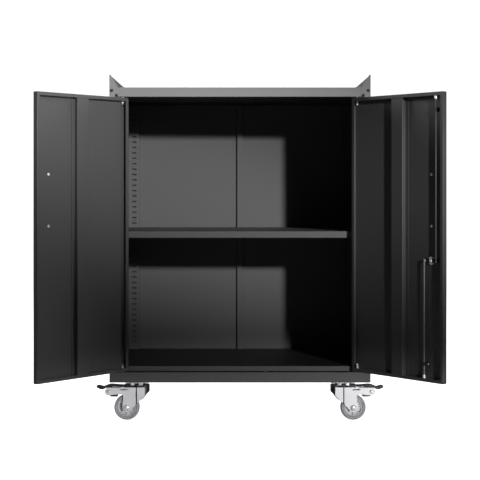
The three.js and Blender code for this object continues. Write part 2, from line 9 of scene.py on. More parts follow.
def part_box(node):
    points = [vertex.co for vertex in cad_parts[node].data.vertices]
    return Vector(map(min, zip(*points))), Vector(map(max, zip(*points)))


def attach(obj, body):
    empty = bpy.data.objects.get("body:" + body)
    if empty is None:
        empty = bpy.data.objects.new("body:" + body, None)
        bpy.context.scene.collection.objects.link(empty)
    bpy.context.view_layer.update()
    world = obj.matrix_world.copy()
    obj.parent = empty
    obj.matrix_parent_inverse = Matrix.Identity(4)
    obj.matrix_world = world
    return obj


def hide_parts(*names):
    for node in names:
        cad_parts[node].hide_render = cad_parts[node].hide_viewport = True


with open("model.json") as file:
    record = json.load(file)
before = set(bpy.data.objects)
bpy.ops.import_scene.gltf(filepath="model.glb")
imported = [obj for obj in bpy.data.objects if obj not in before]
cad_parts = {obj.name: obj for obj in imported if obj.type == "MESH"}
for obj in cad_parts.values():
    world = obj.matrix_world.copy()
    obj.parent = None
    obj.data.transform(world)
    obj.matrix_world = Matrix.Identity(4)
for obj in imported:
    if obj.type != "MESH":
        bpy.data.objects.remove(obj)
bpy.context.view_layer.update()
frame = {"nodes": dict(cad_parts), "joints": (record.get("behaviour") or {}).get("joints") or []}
mm = 0.001

joints = {joint["name"]: joint for joint in frame["joints"]}
scene = bpy.context.scene
sides = (("left", -1), ("right", 1))

# node wiring: shader maths as plain expressions


class Wire:
    def __init__(self, tree, output):
        self.tree = tree
        self.output = output

    def maths(self, operation, first, second):
        node = self.tree.nodes.new("ShaderNodeMath")
        node.operation = operation
        for socket, value in zip(node.inputs, (first, second)):
            if isinstance(value, Wire):
                self.tree.links.new(value.output, socket)
            else:
                socket.default_value = value
        return Wire(self.tree, node.outputs[0])

    def __add__(self, other):
        return self.maths("ADD", self, other)

    def __sub__(self, other):
        return self.maths("SUBTRACT", self, other)

    def __rsub__(self, other):
        return self.maths("SUBTRACT", other, self)

    def __mul__(self, other):
        return self.maths("MULTIPLY", self, other)

    __radd__ = __add__
    __rmul__ = __mul__


class Graph:
    def __init__(self, tree):
        self.tree = tree

    # settings are the node's own options, sockets its values, links or lists of links,
    # and output the one to read
    def add(self, kind, settings=None, sockets=None, output=0):
        node = self.tree.nodes.new(kind)
        for key, value in (settings or {}).items():
            if key == "stops":
                setStops(node.color_ramp, value)
            else:
                setattr(node, key, value)
        for key, value in (sockets or {}).items():
            wires = value if isinstance(value, list) else [value]
            if isinstance(wires[0], Wire):
                for wire in wires:
                    self.tree.links.new(wire.output, node.inputs[key])
            else:
                node.inputs[key].default_value = value
        return Wire(self.tree, node.outputs[output]) if len(node.outputs) else node


def setStops(ramp, stops):
    while len(ramp.elements) < len(stops):
        ramp.elements.new(1.0)
    for element, (place, grey) in zip(ramp.elements, stops):
        element.position = place
        element.color = (grey, grey, grey, 1.0)


# materials


def startMaterial(name):
    material = bpy.data.materials.new(name)
    material.use_nodes = True
    material.node_tree.nodes.clear()
    graph = Graph(material.node_tree)
    where = graph.add("ShaderNodeTexCoord", output="Object")
    return material, graph, where


def noise(graph, where, scale, detail=3.0, roughness=0.5, stretch=(1, 1, 1)):
    stretched = graph.add("ShaderNodeMapping", sockets={"Vector": where, "Scale": stretch})
    sockets = {"Vector": stretched, "Scale": scale, "Detail": detail, "Roughness": roughness}
    return graph.add("ShaderNodeTexNoise", sockets=sockets)


def blendColours(graph, factor, first, second):
    # 6, 7 and 2 are the Mix node's colour sockets
    sockets = {"Factor": factor, 6: (*first, 1.0), 7: (*second, 1.0)}
    return graph.add("ShaderNodeMix", {"data_type": "RGBA"}, sockets, output=2)


# the relief and the shader that every painted, plated or moulded finish ends in
def finishMaterial(graph, colour, rough, relief, strength, distance, **more):
    bump = graph.add(
        "ShaderNodeBump", sockets={"Height": relief, "Strength": strength, "Distance": distance}
    )
    sockets = {"Base Color": colour, "Roughness": rough, "Normal": bump, **more}
    shader = graph.add("ShaderNodeBsdfPrincipled", sockets=sockets)
    graph.add("ShaderNodeOutputMaterial", sockets={"Surface": shader})


# powder coat: soft cloudy tone, orange-peel relief, a slightly uneven gloss
def powderCoat(name, dark, light, gloss, peel):
    material, graph, where = startMaterial(name)
    clouds = noise(graph, where, 5.0, detail=4.0)
    grain = noise(graph, where, 1400.0, detail=2.0)
    orangePeel = noise(graph, where, 520.0, detail=2.0)
    speckle = graph.add(
        "ShaderNodeValToRGB", {"stops": [(0.35, 0.0), (0.7, 1.0)]}, {"Fac": grain}
    )
    colour = blendColours(graph, clouds * 0.75 + speckle * 0.25, dark, light)
    rough = gloss + (clouds - 0.5) * 0.1 + (grain - 0.5) * 0.06
    relief = orangePeel * 0.7 + grain * 0.3
    finishMaterial(graph, colour, rough, relief, peel, 0.4 * mm, IOR=1.5)
    return material


# plated or pressed steel: drawn grain along one direction and faint cloudy passivation
def platedSteel(name, dark, light, gloss, stretch, relief, metal=0.85):
    material, graph, where = startMaterial(name)
    clouds = noise(graph, where, 60.0, detail=4.0)
    drawn = noise(graph, where, 900.0, detail=3.0, stretch=stretch)
    colour = blendColours(graph, clouds * 0.6 + drawn * 0.4, dark, light)
    rough = gloss + (clouds - 0.5) * 0.16 + (drawn - 0.5) * 0.14
    finishMaterial(graph, colour, rough, drawn, relief, 0.2 * mm, Metallic=metal)
    return material


# moulded rubber or plastic: fine stipple, its low spots a little darker
def moulded(name, dark, light, gloss, stipple, scale):
    material, graph, where = startMaterial(name)
    clouds = noise(graph, where, 45.0, detail=5.0, roughness=0.6)
    pits = noise(graph, where, scale, detail=3.0)
    colour = blendColours(graph, clouds * 0.7 + pits * 0.3, dark, light)
    rough = gloss + (clouds - 0.5) * 0.2
    finishMaterial(graph, colour, rough, pits, stipple, 0.3 * mm)
    return material


blackPaint = powderCoat("blackPowderCoat", (0.036,) * 3, (0.048,) * 3, 0.56, 0.25)
greyPaint = powderCoat("greyPowderCoat", (0.145,) * 3, (0.175,) * 3, 0.5, 0.25)
brightZinc = platedSteel("brightZinc", (0.80, 0.81, 0.83), (0.92, 0.93, 0.95), 0.34, (1, 1, 0.1), 0.1, 0.45)
pressedSteel = platedSteel(
    "pressedSteel", (0.74, 0.74, 0.76), (0.84, 0.84, 0.86), 0.5, (0.15, 1, 1), 0.1, 0.25
)
# dark steel: the cam, rod saddles and pin knobs, and painted shade on the caster forks
darkSteel = platedSteel("blackenedSteel", (0.035,) * 3, (0.06,) * 3, 0.4, (1, 1, 1), 0.15)
greyRubber = moulded("greyRubber", (0.34, 0.34, 0.355), (0.44, 0.44, 0.455), 0.62, 0.3, 700.0)
greyPlastic = moulded("greyNylon", (0.56, 0.56, 0.58), (0.66, 0.66, 0.68), 0.45, 0.12, 900.0)
blackPlastic = moulded("blackPlastic", (0.010,) * 3, (0.018,) * 3, 0.42, 0.3, 900.0)

# a finish is a material and the name of a slot, which nothing here reads
blackCoat = (blackPaint, "black_paint")
greyCoat = (greyPaint, "grey_paint")
zinc = (brightZinc, "zinc")
darkZinc = (darkSteel, "zinc")
pressed = (pressedSteel, "pressed_steel")
# pressed steel painted dark, as painted shade on the forks' crown and round end
pressedInPaintedShade = (darkSteel, "pressed_steel")
rubber = (greyRubber, "grey_rubber")
nylon = (greyPlastic, "grey_plastic")
plastic = (blackPlastic, "black_plastic")
print("materials ready")

# building blocks


# a table of lengths, written in millimetres
def lengths(table):
    return {key: value * mm for key, value in table.items()}


# points given in millimetres from one place
def offsets(x, y, *points):
    return [(x + a * mm, y + b * mm) for a, b in points]


def titled(label):
    return "".join(word.title() for word in label.split("_"))


def link(name, mesh):
    obj = bpy.data.objects.new(name, mesh)
    scene.collection.objects.link(obj)
    return obj


def fromBmesh(name, bm):
    bmesh.ops.remove_doubles(bm, verts=bm.verts, dist=1e-7)
    bmesh.ops.recalc_face_normals(bm, faces=bm.faces)
    mesh = bpy.data.meshes.new(name)
    bm.to_mesh(mesh)
    bm.free()
    return link(name, mesh)


# puts an outline's two numbers and a depth on the axes: drawn in YZ, XZ or XY
def onAxis(axis, a, b, depth):
    return {"X": (depth, a, b), "Y": (a, depth, b), "Z": (a, b, depth)}[axis]


def addPrism(bm, outline, axis, low, high):
    near = [bm.verts.new(onAxis(axis, a, b, low)) for a, b in outline]
    far = [bm.verts.new(onAxis(axis, a, b, high)) for a, b in outline]
    bm.faces.new(near)
    bm.faces.new(far)
    for i in range(len(outline)):
        j = (i + 1) % len(outline)
        bm.faces.new((near[i], near[j], far[j], far[i]))


def prism(name, outline, axis, low, high):
    bm = bmesh.new()
    addPrism(bm, outline, axis, low, high)
    return fromBmesh(name, bm)


# turned about an axis through centre; the profile is (radius, along) and closes on itself
def addTurned(bm, profile, centre, axis, segments):
    rings = []
    for i in range(segments):
        turn = 2 * math.pi * i / segments
        c, s = math.cos(turn), math.sin(turn)
        rings.append(
            [bm.verts.new(Vector(centre) + Vector(onAxis(axis, r * c, r * s, h))) for r, h in profile]
        )
    for i in range(segments):
        here, there = rings[i], rings[(i + 1) % segments]
        for k in range(len(profile)):
            n = (k + 1) % len(profile)
            if profile[k][0] < 1e-9 and profile[n][0] < 1e-9:
                continue
            bm.faces.new((here[k], here[n], there[n], there[k]))


def turned(name, profile, centre, axis, segments=48):
    bm = bmesh.new()
    addTurned(bm, profile, centre, axis, segments)
    bmesh.ops.remove_doubles(bm, verts=bm.verts, dist=1e-7)
    bmesh.ops.dissolve_degenerate(bm, edges=bm.edges, dist=1e-8)
    return fromBmesh(name, bm)


def circle(x, y, radius, segments=32, start=0.0, sweep=2 * math.pi):
    count = segments if abs(sweep) > 6.28 else segments + 1
    turns = [start + sweep * i / segments for i in range(count)]
    return [(x + radius * math.cos(t), y + radius * math.sin(t)) for t in turns]


# rounds the corners of a line of points with short curves of about the radius asked for
def rounded(points, radius, steps=4, closed=False):
    done = []
    for i, point in enumerate(points):
        if not closed and i in (0, len(points) - 1):
            done.append(tuple(point))
            continue
        corner = Vector(point)
        before = Vector(points[i - 1]) - corner
        after = Vector(points[(i + 1) % len(points)]) - corner
        back = radius / math.tan(before.angle(after) / 2)
        back = min(back, 0.45 * before.length, 0.45 * after.length)
        a = corner + before.normalized() * back
        b = corner + after.normalized() * back
        for k in range(steps + 1):
            t = k / steps
            p = a * (1 - t) ** 2 + corner * 2 * t * (1 - t) + b * t**2
            done.append((p.x, p.y))
    return done


# moves an open line sideways, to the right of travel, by one distance or by one for each point
def shifted(points, distance):
    done = []
    for i, (x, y) in enumerate(points):
        x0, y0 = points[max(i - 1, 0)]
        x1, y1 = points[min(i + 1, len(points) - 1)]
        before = Vector((y - y0, x0 - x)) if i else None
        after = Vector((y1 - y, x - x1)) if i + 1 < len(points) else None
        first = (before or after).normalized()
        second = (after or before).normalized()
        push = distance[i] if isinstance(distance, (list, tuple)) else distance
        push /= 1 + first.dot(second)
        done.append((x + (first.x + second.x) * push, y + (first.y + second.y) * push))
    return done


# the section of a bent sheet whose outer face is the line, with its thickness to the right of travel
def bentSection(line, thickness, bend):
    middle = rounded(shifted(line, thickness / 2), bend)
    return shifted(middle, -thickness / 2) + shifted(middle, thickness / 2)[::-1]


def bentSheet(name, line, axis, low, high, thickness, bend):
    return prism(name, bentSection(line, thickness, bend), axis, low, high)


# a folded box open on one side, where its edges turn inwards by lip
def pan(name, low, high, axis, side, lip):
    k = "XYZ".index(axis)
    i, j = [n for n in range(3) if n != k]
    shut, mouth = (low[k], high[k]) if side > 0 else (high[k], low[k])

    def ring(inset, depth):
        loop = []
        for a, b in ((0, 0), (1, 0), (1, 1), (0, 1)):
            point = [0.0, 0.0, 0.0]
            point[i] = (high[i] - inset) if a else (low[i] + inset)
            point[j] = (high[j] - inset) if b else (low[j] + inset)
            point[k] = depth
            loop.append(bm.verts.new(point))
        return loop

    bm = bmesh.new()
    back, front, inner = ring(0, shut), ring(0, mouth), ring(lip, mouth)
    bm.faces.new(back)
    for outer, following in ((back, front), (front, inner)):
        for n in range(4):
            m = (n + 1) % 4
            bm.faces.new((outer[n], outer[m], following[m], following[n]))
    return fromBmesh(name, bm)


def bevel(obj, width, segments=2, angle=30):
    modifier = obj.modifiers.new("bevel", "BEVEL")
    modifier.width = width
    modifier.segments = segments
    modifier.limit_method = "ANGLE"
    modifier.angle_limit = math.radians(angle)


def solidify(obj, thickness):
    modifier = obj.modifiers.new("wall", "SOLIDIFY")
    modifier.thickness = thickness
    modifier.offset = -1
    modifier.use_even_offset = True


# cuts the cutter's shape out of a piece, then throws the cutter away
def cutOut(obj, cutter):
    modifier = obj.modifiers.new("cut", "BOOLEAN")
    modifier.operation = "DIFFERENCE"
    modifier.solver = "EXACT"
    modifier.object = cutter
    applyModifiers(obj)
    bpy.data.objects.remove(cutter)


def applyModifiers(obj):
    bpy.context.view_layer.update()
    done = obj.evaluated_get(bpy.context.evaluated_depsgraph_get())
    mesh = bpy.data.meshes.new_from_object(done)
    obj.modifiers.clear()
    obj.data = mesh


# gives the faces that a test picks, by their centre and normal, a second finish
def paintFaces(obj, material, test):
    obj.data.materials.append(material)
    last = len(obj.data.materials) - 1
    for face in obj.data.polygons:
        if test(face.center, face.normal):
            face.material_index = last


def drills(spots, axis, low, high, segments=24):
    bm = bmesh.new()
    for a, b, radius in spots:
        addPrism(bm, circle(a, b, radius, segments), axis, low, high)
    return fromBmesh("drills", bm)


# the last step of a piece: plain mesh, placed, smooth with crisp corners, painted and riding on its body
def settle(obj, body, finish, replaced=(), place=None, crisp=35, second=None):
    material, slotName = finish
    applyModifiers(obj)
    obj.data.shade_smooth()
    obj.data.set_sharp_from_angle(angle=math.radians(crisp))
    flat = obj.modifiers.new("flatFaces", "WEIGHTED_NORMAL")
    flat.keep_sharp = True
    flat.weight = 100
    applyModifiers(obj)
    obj.data.materials.clear()
    obj.data.materials.append(material)
    if second:
        paintFaces(obj, *second)
    if place is not None:
        obj.data.transform(place)
    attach(obj, body)
    if replaced:
        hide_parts(*replaced)
    return obj


# Geometry Nodes: what repeats


def makeTree(name, inputs):
    tree = bpy.data.node_groups.new(name, "GeometryNodeTree")
    tree.interface.new_socket("Geometry", in_out="INPUT", socket_type="NodeSocketGeometry")
    for label, kind in inputs.items():
        tree.interface.new_socket(label, in_out="INPUT", socket_type="NodeSocket" + kind)
    tree.interface.new_socket("Geometry", in_out="OUTPUT", socket_type="NodeSocketGeometry")
    graph = Graph(tree)
    outputs = graph.add("NodeGroupInput").output.node.outputs
    return graph, {output.name: Wire(tree, output) for output in outputs if output.name}


def endTree(graph, geometry, material):
    real = graph.add("GeometryNodeRealizeInstances", sockets={"Geometry": geometry})
    painted = graph.add(
        "GeometryNodeSetMaterial", sockets={"Geometry": real, "Material": material}
    )
    graph.add("NodeGroupOutput", sockets={"Geometry": painted})
    return graph.tree


def runTree(obj, tree, values):
    modifier = obj.modifiers.new("nodes", "NODES")
    modifier.node_group = tree
    for item in tree.interface.items_tree:
        if item.in_out == "INPUT" and item.name in values:
            modifier[item.identifier] = values[item.name]
    applyModifiers(obj)


# a row of slots up an upright, with a small round hole between slots at every so many
def makeSlotTree():
    kinds = {
        "First Slot": "Vector", "Pitch": "Float", "Slots": "Int", "Slot Size": "Vector",
        "First Hole": "Vector", "Hole Pitch": "Float", "Holes": "Int", "Hole Radius": "Float",
        "Material": "Material",
    }
    graph, given = makeTree("slotRow", kinds)

    def row(start, pitch, count, shape, turn):
        step = graph.add("ShaderNodeCombineXYZ", sockets={"Z": pitch})
        line = graph.add(
            "GeometryNodeMeshLine", {"mode": "OFFSET"},
            {"Count": count, "Start Location": start, "Offset": step},
        )
        return graph.add(
            "GeometryNodeInstanceOnPoints",
            sockets={"Points": line, "Instance": shape, "Rotation": turn},
        )

    slotShape = graph.add("GeometryNodeMeshCube", sockets={"Size": given["Slot Size"]})
    holeShape = graph.add(
        "GeometryNodeMeshCylinder",
        sockets={"Vertices": 16, "Radius": given["Hole Radius"], "Depth": 0.02},
    )
    slots = row(given["First Slot"], given["Pitch"], given["Slots"], slotShape, (0, 0, 0))
    holes = row(
        given["First Hole"], given["Hole Pitch"], given["Holes"], holeShape, (math.pi / 2, 0, 0)
    )
    cut = graph.add(
        "GeometryNodeMeshBoolean", {"operation": "DIFFERENCE"},
        {"Mesh 1": given["Geometry"], "Mesh 2": [slots, holes]},
    )
    return endTree(graph, cut, given["Material"])


# one head, such as a screw or a rivet, on every point, standing along the point's facing
def makeHeadTree():
    kinds = {"Head": "Object", "Size": "Float", "Spin": "Float", "Seed": "Int", "Material": "Material"}
    graph, given = makeTree("headsOnPoints", kinds)
    facing = graph.add(
        "GeometryNodeInputNamedAttribute", {"data_type": "FLOAT_VECTOR"}, {"Name": "facing"}
    )
    stand = graph.add(
        "FunctionNodeAlignRotationToVector", {"axis": "Z"}, {"Vector": facing}
    )
    # 3 and 1 are the Random Value node's float maximum and result
    anyTurn = graph.add(
        "FunctionNodeRandomValue", {"data_type": "FLOAT"},
        {3: given["Spin"], "Seed": given["Seed"]}, output=1,
    )
    spin = graph.add(
        "FunctionNodeAxisAngleToRotation", sockets={"Axis": (0, 0, 1), "Angle": anyTurn}
    )
    turn = graph.add(
        "FunctionNodeRotateRotation", {"rotation_space": "LOCAL"},
        {"Rotation": stand, "Rotate By": spin},
    )
    head = graph.add(
        "GeometryNodeObjectInfo", {"transform_space": "ORIGINAL"},
        {"Object": given["Head"]}, output="Geometry",
    )
    heads = graph.add(
        "GeometryNodeInstanceOnPoints",
        sockets={
            "Points": given["Geometry"], "Instance": head,
            "Rotation": turn, "Scale": given["Size"],
        },
    )
    return endTree(graph, heads, given["Material"])


slotTree = makeSlotTree()
headTree = makeHeadTree()

# screw, rivet and bolt heads, standing on z = 0


# half-oval profile of a domed head, from its rim to its crown
def dome(radius, height, rim=0.0, steps=6):
    arc = [(0.5 * math.pi * k / steps) for k in range(steps + 1)]
    return [(radius * math.cos(t), rim + (height - rim) * math.sin(t)) for t in arc]


def crossHead(name, radius, height):
    profile = [(0, 0), (radius, 0), *dome(radius, height, rim=0.15 * height)]
    profile[-1] = (0, height)
    obj = turned(name, profile, (0, 0, 0), "Z", 20)
    a, w = 0.62 * radius, 0.14 * radius
    cross = [
        (a, -w), (a, w), (w, w), (w, a), (-w, a), (-w, w),
        (-a, w), (-a, -w), (-w, -w), (-w, -a), (w, -a), (w, -w),
    ]
    cutOut(obj, prism("cross", cross, "Z", 0.45 * height, 1.5 * height))
    return obj


def rivetHead(name, radius, height):
    profile = [(0, 0), (radius, 0), *dome(radius, height)]
    profile[-1] = (0, height)
    return turned(name, profile, (0, 0, 0), "Z", 16)


# a shallow ring, as a spot weld leaves
def weldMark(name, radius, height):
    profile = [(0, 0), (radius, 0), (0.8 * radius, height), (0.5 * radius, 0.35 * height), (0, 0.3 * height)]
    return turned(name, profile, (0, 0, 0), "Z", 12)


def hexBolt(name, acrossCorners, height, washer):
    bm = bmesh.new()
    addTurned(bm, [(0, 0), (washer, 0), (washer, 0.2 * height), (0, 0.2 * height)], (0, 0, 0), "Z", 24)
    addPrism(bm, circle(0, 0, acrossCorners, 6), "Z", 0.2 * height, height)
    bmesh.ops.remove_doubles(bm, verts=bm.verts, dist=1e-7)
    obj = fromBmesh(name, bm)
    bevel(obj, 0.08 * height, 2)
    applyModifiers(obj)
    return obj


heads = {
    "screw": crossHead("screwHead", 4.2 * mm, 2.3 * mm),
    "guardScrew": crossHead("guardScrewHead", 4.6 * mm, 3.0 * mm),
    "rivet": rivetHead("rivetHead", 3.2 * mm, 1.5 * mm),
    "weld": weldMark("weldMark", 2.8 * mm, 0.35 * mm),
    "bolt": hexBolt("boltHead", 6.4 * mm, 7.6 * mm, 7.4 * mm),
}


# spots are (place, facing) pairs
def fasten(name, head, spots, body, finish, place=None, size=1.0, seed=3):
    mesh = bpy.data.meshes.new(name)
    mesh.from_pydata([spot for spot, _ in spots], [], [])
    facing = mesh.attributes.new("facing", "FLOAT_VECTOR", "POINT")
    for i, (_, direction) in enumerate(spots):
        facing.data[i].vector = direction
    obj = link(name, mesh)
    runTree(obj, headTree, {
        "Head": heads[head], "Size": size, "Spin": math.tau, "Seed": seed, "Material": finish[0],
    })
    return settle(obj, body, finish, place=place)


print("building tools ready")

# the cabinet

cabinet = lengths({
    "sheet": 1.2,
    "bend": 1.5,  # to the middle of the sheet
    "gap": 0.3,
    "baseFlange": 96,
    "backReturn": 9,
    "shelfReturn": 12,
    "postWidth": 22.6,
    "postReturn": 15,
    "rearFlange": 20,
    "trayRim": 20,
    "trayFloorDrop": 15.4,
    "trayFlange": 24,
    "channelBend": 1.2,
    "backBend": 0.7,
    "pinHole": 3.1,
    "rodHole": 5.1,
})
baseLow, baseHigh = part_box("base_frame")
trayLow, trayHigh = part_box("top_tray")
front, rear = baseLow.y, baseHigh.y
halfWidth = baseHigh.x
faceLimit = 0.6  # how squarely a face has to look one way to take painted shade: black under the tray and inside the guards


# a pan in the cabinet's sheet, with its folds eased and its holes cut
def foldedPan(name, low, high, axis, side, lip, holes=()):
    obj = pan(name, low, high, axis, side, lip)
    bevel(obj, cabinet["bend"] * 1.3, 4)
    solidify(obj, cabinet["sheet"])
    for cutter in holes:
        cutOut(obj, cutter)
    return obj


# the holes for the hinge pins and for the tip of one lock rod, as spots to drill
def frameHoles(rod):
    hinges = [joints[f"door_{label}_hinge"]["pos_m"] for label, _ in sides]
    tip = (*closedDoor(1, lock[rod], lock["rodDepth"]), cabinet["rodHole"])
    return [(at[0], at[1], cabinet["pinHole"]) for at in hinges] + [tip]


def makeCabinet():
    sheet, bend = cabinet["sheet"], cabinet["bend"]
    holes = drills(frameHoles("lowerRod"), "Z", baseHigh.z - 3 * sheet, baseHigh.z + sheet)
    base = foldedPan("baseFrame", baseLow, baseHigh, "Z", -1, cabinet["baseFlange"], [holes])
    settle(base, "cabinet", blackCoat, ["base_frame"])

    low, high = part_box("floor_panel")
    line = [(low.y, low.z), (low.y, high.z), (high.y, high.z), (high.y, low.z)]
    floor = bentSheet("cabinetFloor", line, "X", low.x, high.x, sheet, bend)
    settle(floor, "cabinet", blackCoat, ["floor_panel"])

    low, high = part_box("back_seam_channel")
    line = [(high.x, high.y), (high.x, low.y), (low.x, low.y), (low.x, high.y)]
    channel = bentSheet("backSeamChannel", line, "Z", low.z, high.z, sheet, cabinet["channelBend"])
    settle(channel, "cabinet", blackCoat, ["back_seam_channel"])

    for label, _ in sides:
        low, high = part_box(f"back_panel_{label}")
        line = [(high.y, low.z), (high.y, high.z), (low.y - cabinet["backReturn"], high.z)]
        panel = bentSheet(
            f"backPanel{label.title()}", line, "X", low.x, high.x, sheet, cabinet["backBend"]
        )
        settle(panel, "cabinet", blackCoat, [f"back_panel_{label}"])

    shelf = foldedPan("shelf", *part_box("shelf"), "Z", -1, cabinet["shelfReturn"])
    settle(shelf, "cabinet", blackCoat, ["shelf"])

    for label, sign in sides:
        low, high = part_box(f"side_panel_{label}")
        jamb = sign * (halfWidth - cabinet["postWidth"])
        line = [
            (jamb, front + cabinet["postReturn"]),
            (jamb, front),
            (sign * halfWidth, front),
            (sign * halfWidth, rear),
            (sign * (halfWidth - cabinet["rearFlange"]), rear),
        ]
        line = line if sign < 0 else line[::-1]
        panel = bentSheet(f"sidePanel{label.title()}", line, "Z", low.z, high.z, sheet, bend)
        settle(panel, "cabinet", blackCoat, [f"side_panel_{label}"])


def makeTray():
    sheet, bend = cabinet["sheet"], cabinet["bend"]
    rim, flange = cabinet["trayRim"], cabinet["trayFlange"]
    low, high = trayLow, trayHigh
    bed = high.z - cabinet["trayFloorDrop"]
    line = [
        (front + flange, low.z), (front, low.z), (front, high.z), (front + rim, high.z),
        (front + rim, bed), (rear - rim, bed), (rear - rim, high.z),
        (rear, high.z), (rear, low.z), (rear - flange, low.z),
    ]
    tray = bentSheet("topTray", line, "X", low.x, high.x, sheet, bend)
    cutOut(tray, drills(frameHoles("upperRod"), "Z", low.z - sheet, low.z + 3 * sheet))
    settle(tray, "cabinet", greyCoat, ["top_tray"])
    # the tray's down-facing faces are painted black, a painted shade on the cabinet's ceiling
    paintFaces(tray, blackPaint, lambda at, normal: normal.z < -faceLimit)


guard = {
    "flangeLow": 29 * mm,
    "flangeHigh": 26 * mm,
    "flangeTip": 3 * mm,
    "spare": 2 * mm,
    "screws": ((6.7 * mm, 18.4 * mm), (21.5 * mm, 4.1 * mm)),  # in from the side, above the foot
    "sideScrewInset": 90 * mm,
    "sideScrewRise": 13 * mm,
}


def makeGuards():
    spare = guard["spare"]
    for label, sign in sides:
        low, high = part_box(f"side_guard_{label}")

        def x(inward):
            return sign * (halfWidth - inward)

        line = [
            (x(guard["flangeLow"] + spare), low.y), (x(0), low.y),
            (x(0), high.y), (x(guard["flangeLow"] + spare), high.y),
        ]
        line = line if sign < 0 else line[::-1]
        wall = bentSheet(
            f"sideGuard{label.title()}", line, "Z", low.z, high.z, cabinet["sheet"], cabinet["bend"]
        )
        far = guard["flangeLow"] + 3 * spare
        waste = [
            (x(guard["flangeLow"]), low.z - spare), (x(guard["flangeLow"]), low.z),
            (x(guard["flangeHigh"]), trayHigh.z), (x(guard["flangeTip"]), high.z + spare),
            (x(far), high.z + spare), (x(far), low.z - spare),
        ]
        cutOut(wall, prism("waste", waste, "Y", low.y - spare, high.y + spare))
        settle(wall, "cabinet", greyCoat, [f"side_guard_{label}"])
        # the guard's inner faces are painted black, a painted shade inside the grey guard
        paintFaces(wall, blackPaint, lambda at, normal: sign * normal.x < -faceLimit)
        spots = []
        for inward, above in guard["screws"]:
            spots.append(((x(inward), low.y, low.z + above), (0, -1, 0)))
        inset = guard["sideScrewInset"]
        for y in (low.y + inset, 0.5 * (low.y + high.y), high.y - inset):
            spots.append(((sign * halfWidth, y, low.z + guard["sideScrewRise"]), (sign, 0, 0)))
        fasten(f"guardScrews{label.title()}", "guardScrew", spots, "cabinet", plastic)


upright = lengths({
    "slotFromEdge": 15.6,
    "slotWidth": 13.6,
    "slotHeight": 5.2,
    "pitch": 17.5,
    "firstSlot": 38,  # above the base frame
    "endMargin": 20,
    "holeRadius": 1.5,
    "bend": 1.3,
    "cutDepth": 8,
    "shadeGap": 9.4,  # from the face to the dark strip behind the slots, a painted shadow seen through them
    "shadeHalf": 10,
    "shadeFold": 2,
    "shadeSheet": 0.8,
    "shadeBend": 0.6,
})
holeEvery = 5  # slots from one small hole to the next


def makeUprights():
    # a dark strip behind each rear row of slots, a painted shadow seen through the slots
    for label, sign in sides:
        low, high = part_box(f"upright_rear_{label}")
        inner = high.x if sign < 0 else low.x
        middle = inner + sign * upright["slotFromEdge"]
        back = low.y + upright["shadeGap"]
        left, right = middle - upright["shadeHalf"], middle + upright["shadeHalf"]
        fold = back + upright["shadeFold"]
        line = [(left, fold), (left, back), (right, back), (right, fold)]
        shade = bentSheet(
            f"slotShade{label.title()}", line, "Z", low.z, high.z,
            upright["shadeSheet"], upright["shadeBend"],
        )
        settle(shade, "cabinet", plastic)
    for label, sign in sides:
        for end in ("front", "rear"):
            low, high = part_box(f"upright_{end}_{label}")
            inner, outer = (high.x, low.x) if sign < 0 else (low.x, high.x)
            face, lip = (high.y, low.y) if end == "front" else (low.y, high.y)
            line = [(inner, lip), (inner, face), (outer, face)]
            # the sheet lies behind the face, so the way round depends on the corner
            line = line if (sign > 0) == (end == "front") else line[::-1]
            name = f"upright{end.title()}{label.title()}"
            obj = bentSheet(name, line, "Z", low.z, high.z, cabinet["sheet"], upright["bend"])
            x = inner + sign * upright["slotFromEdge"]
            first = baseHigh.z + upright["firstSlot"]
            pitch = upright["pitch"]
            count = int((high.z - upright["endMargin"] - first) / pitch) + 1
            runTree(obj, slotTree, {
                "First Slot": (x, face, first), "Pitch": pitch, "Slots": count,
                "Slot Size": (upright["slotWidth"], upright["cutDepth"], upright["slotHeight"]),
                "First Hole": (x, face, first + 2.5 * pitch), "Hole Pitch": holeEvery * pitch,
                "Holes": (count - 4) // holeEvery + 1, "Hole Radius": upright["holeRadius"],
                "Material": blackPaint,
            })
            settle(obj, "cabinet", blackCoat, [f"upright_{end}_{label}"])


# a merged copy of a small CAD part with its edges eased
def easedCopy(name, node, width, body, finish):
    bm = bmesh.new()
    bm.from_mesh(frame["nodes"][node].data)
    bmesh.ops.remove_doubles(bm, verts=bm.verts, dist=1e-6)
    bmesh.ops.dissolve_limit(
        bm, angle_limit=math.radians(1), verts=bm.verts, edges=bm.edges, delimit=set()
    )
    obj = fromBmesh(name, bm)
    bevel(obj, width)
    return settle(obj, body, finish, [node])


def makeClips():
    for label, _ in sides:
        for end in ("front", "rear"):
            easedCopy(
                f"shelfClip{end.title()}{label.title()}", f"shelf_clip_{end}_{label}", 0.4 * mm,
                "cabinet", zinc,
            )


# doors, drawn shut about the hinge pin and swung to where they stand

door = lengths({
    "edgeToPivot": 12,
    "meetingGap": 3,
    "faceOut": -5,
    "faceIn": 11,
    "lip": 10,
    "stiffenerNear": 145,
    "stiffenerWidth": 44,
    "stiffenerFlange": 12,
    "handleAlong": 286,
    "handleReach": 34,
    "handleBar": 8,
    "handleFoot": 14,
    "handleWidth": 12,
    "handleSpacing": 143,
    "handleOuterBend": 9,
    "handleInnerBend": 6,
    "handleEase": 2.4,
    "weldInset": 6,
})
lock = lengths({
    "along": 288.5,
    "camRadius": 21.5,
    "camNear": 0.6,  # from the pin's line to the near face of the cam
    "camThickness": 1.8,
    "rodRadius": 2.2,
    "rodDepth": 5,
    "tipRadius": 4.5,
    "tipLength": 18,
    "hole": 9.1,
    "body": 8.5,
    "rim": 11,
    "dish": 6,
    "saddleSheet": 1.2,
    "saddleFoot": 8,
    "saddleHalf": 5,
    "saddleBack": 30,  # from the neck of the rod
})
weldCount = 9  # down each flange of a stiffener
lock["lowerRod"] = lock["along"] - lock["camRadius"]
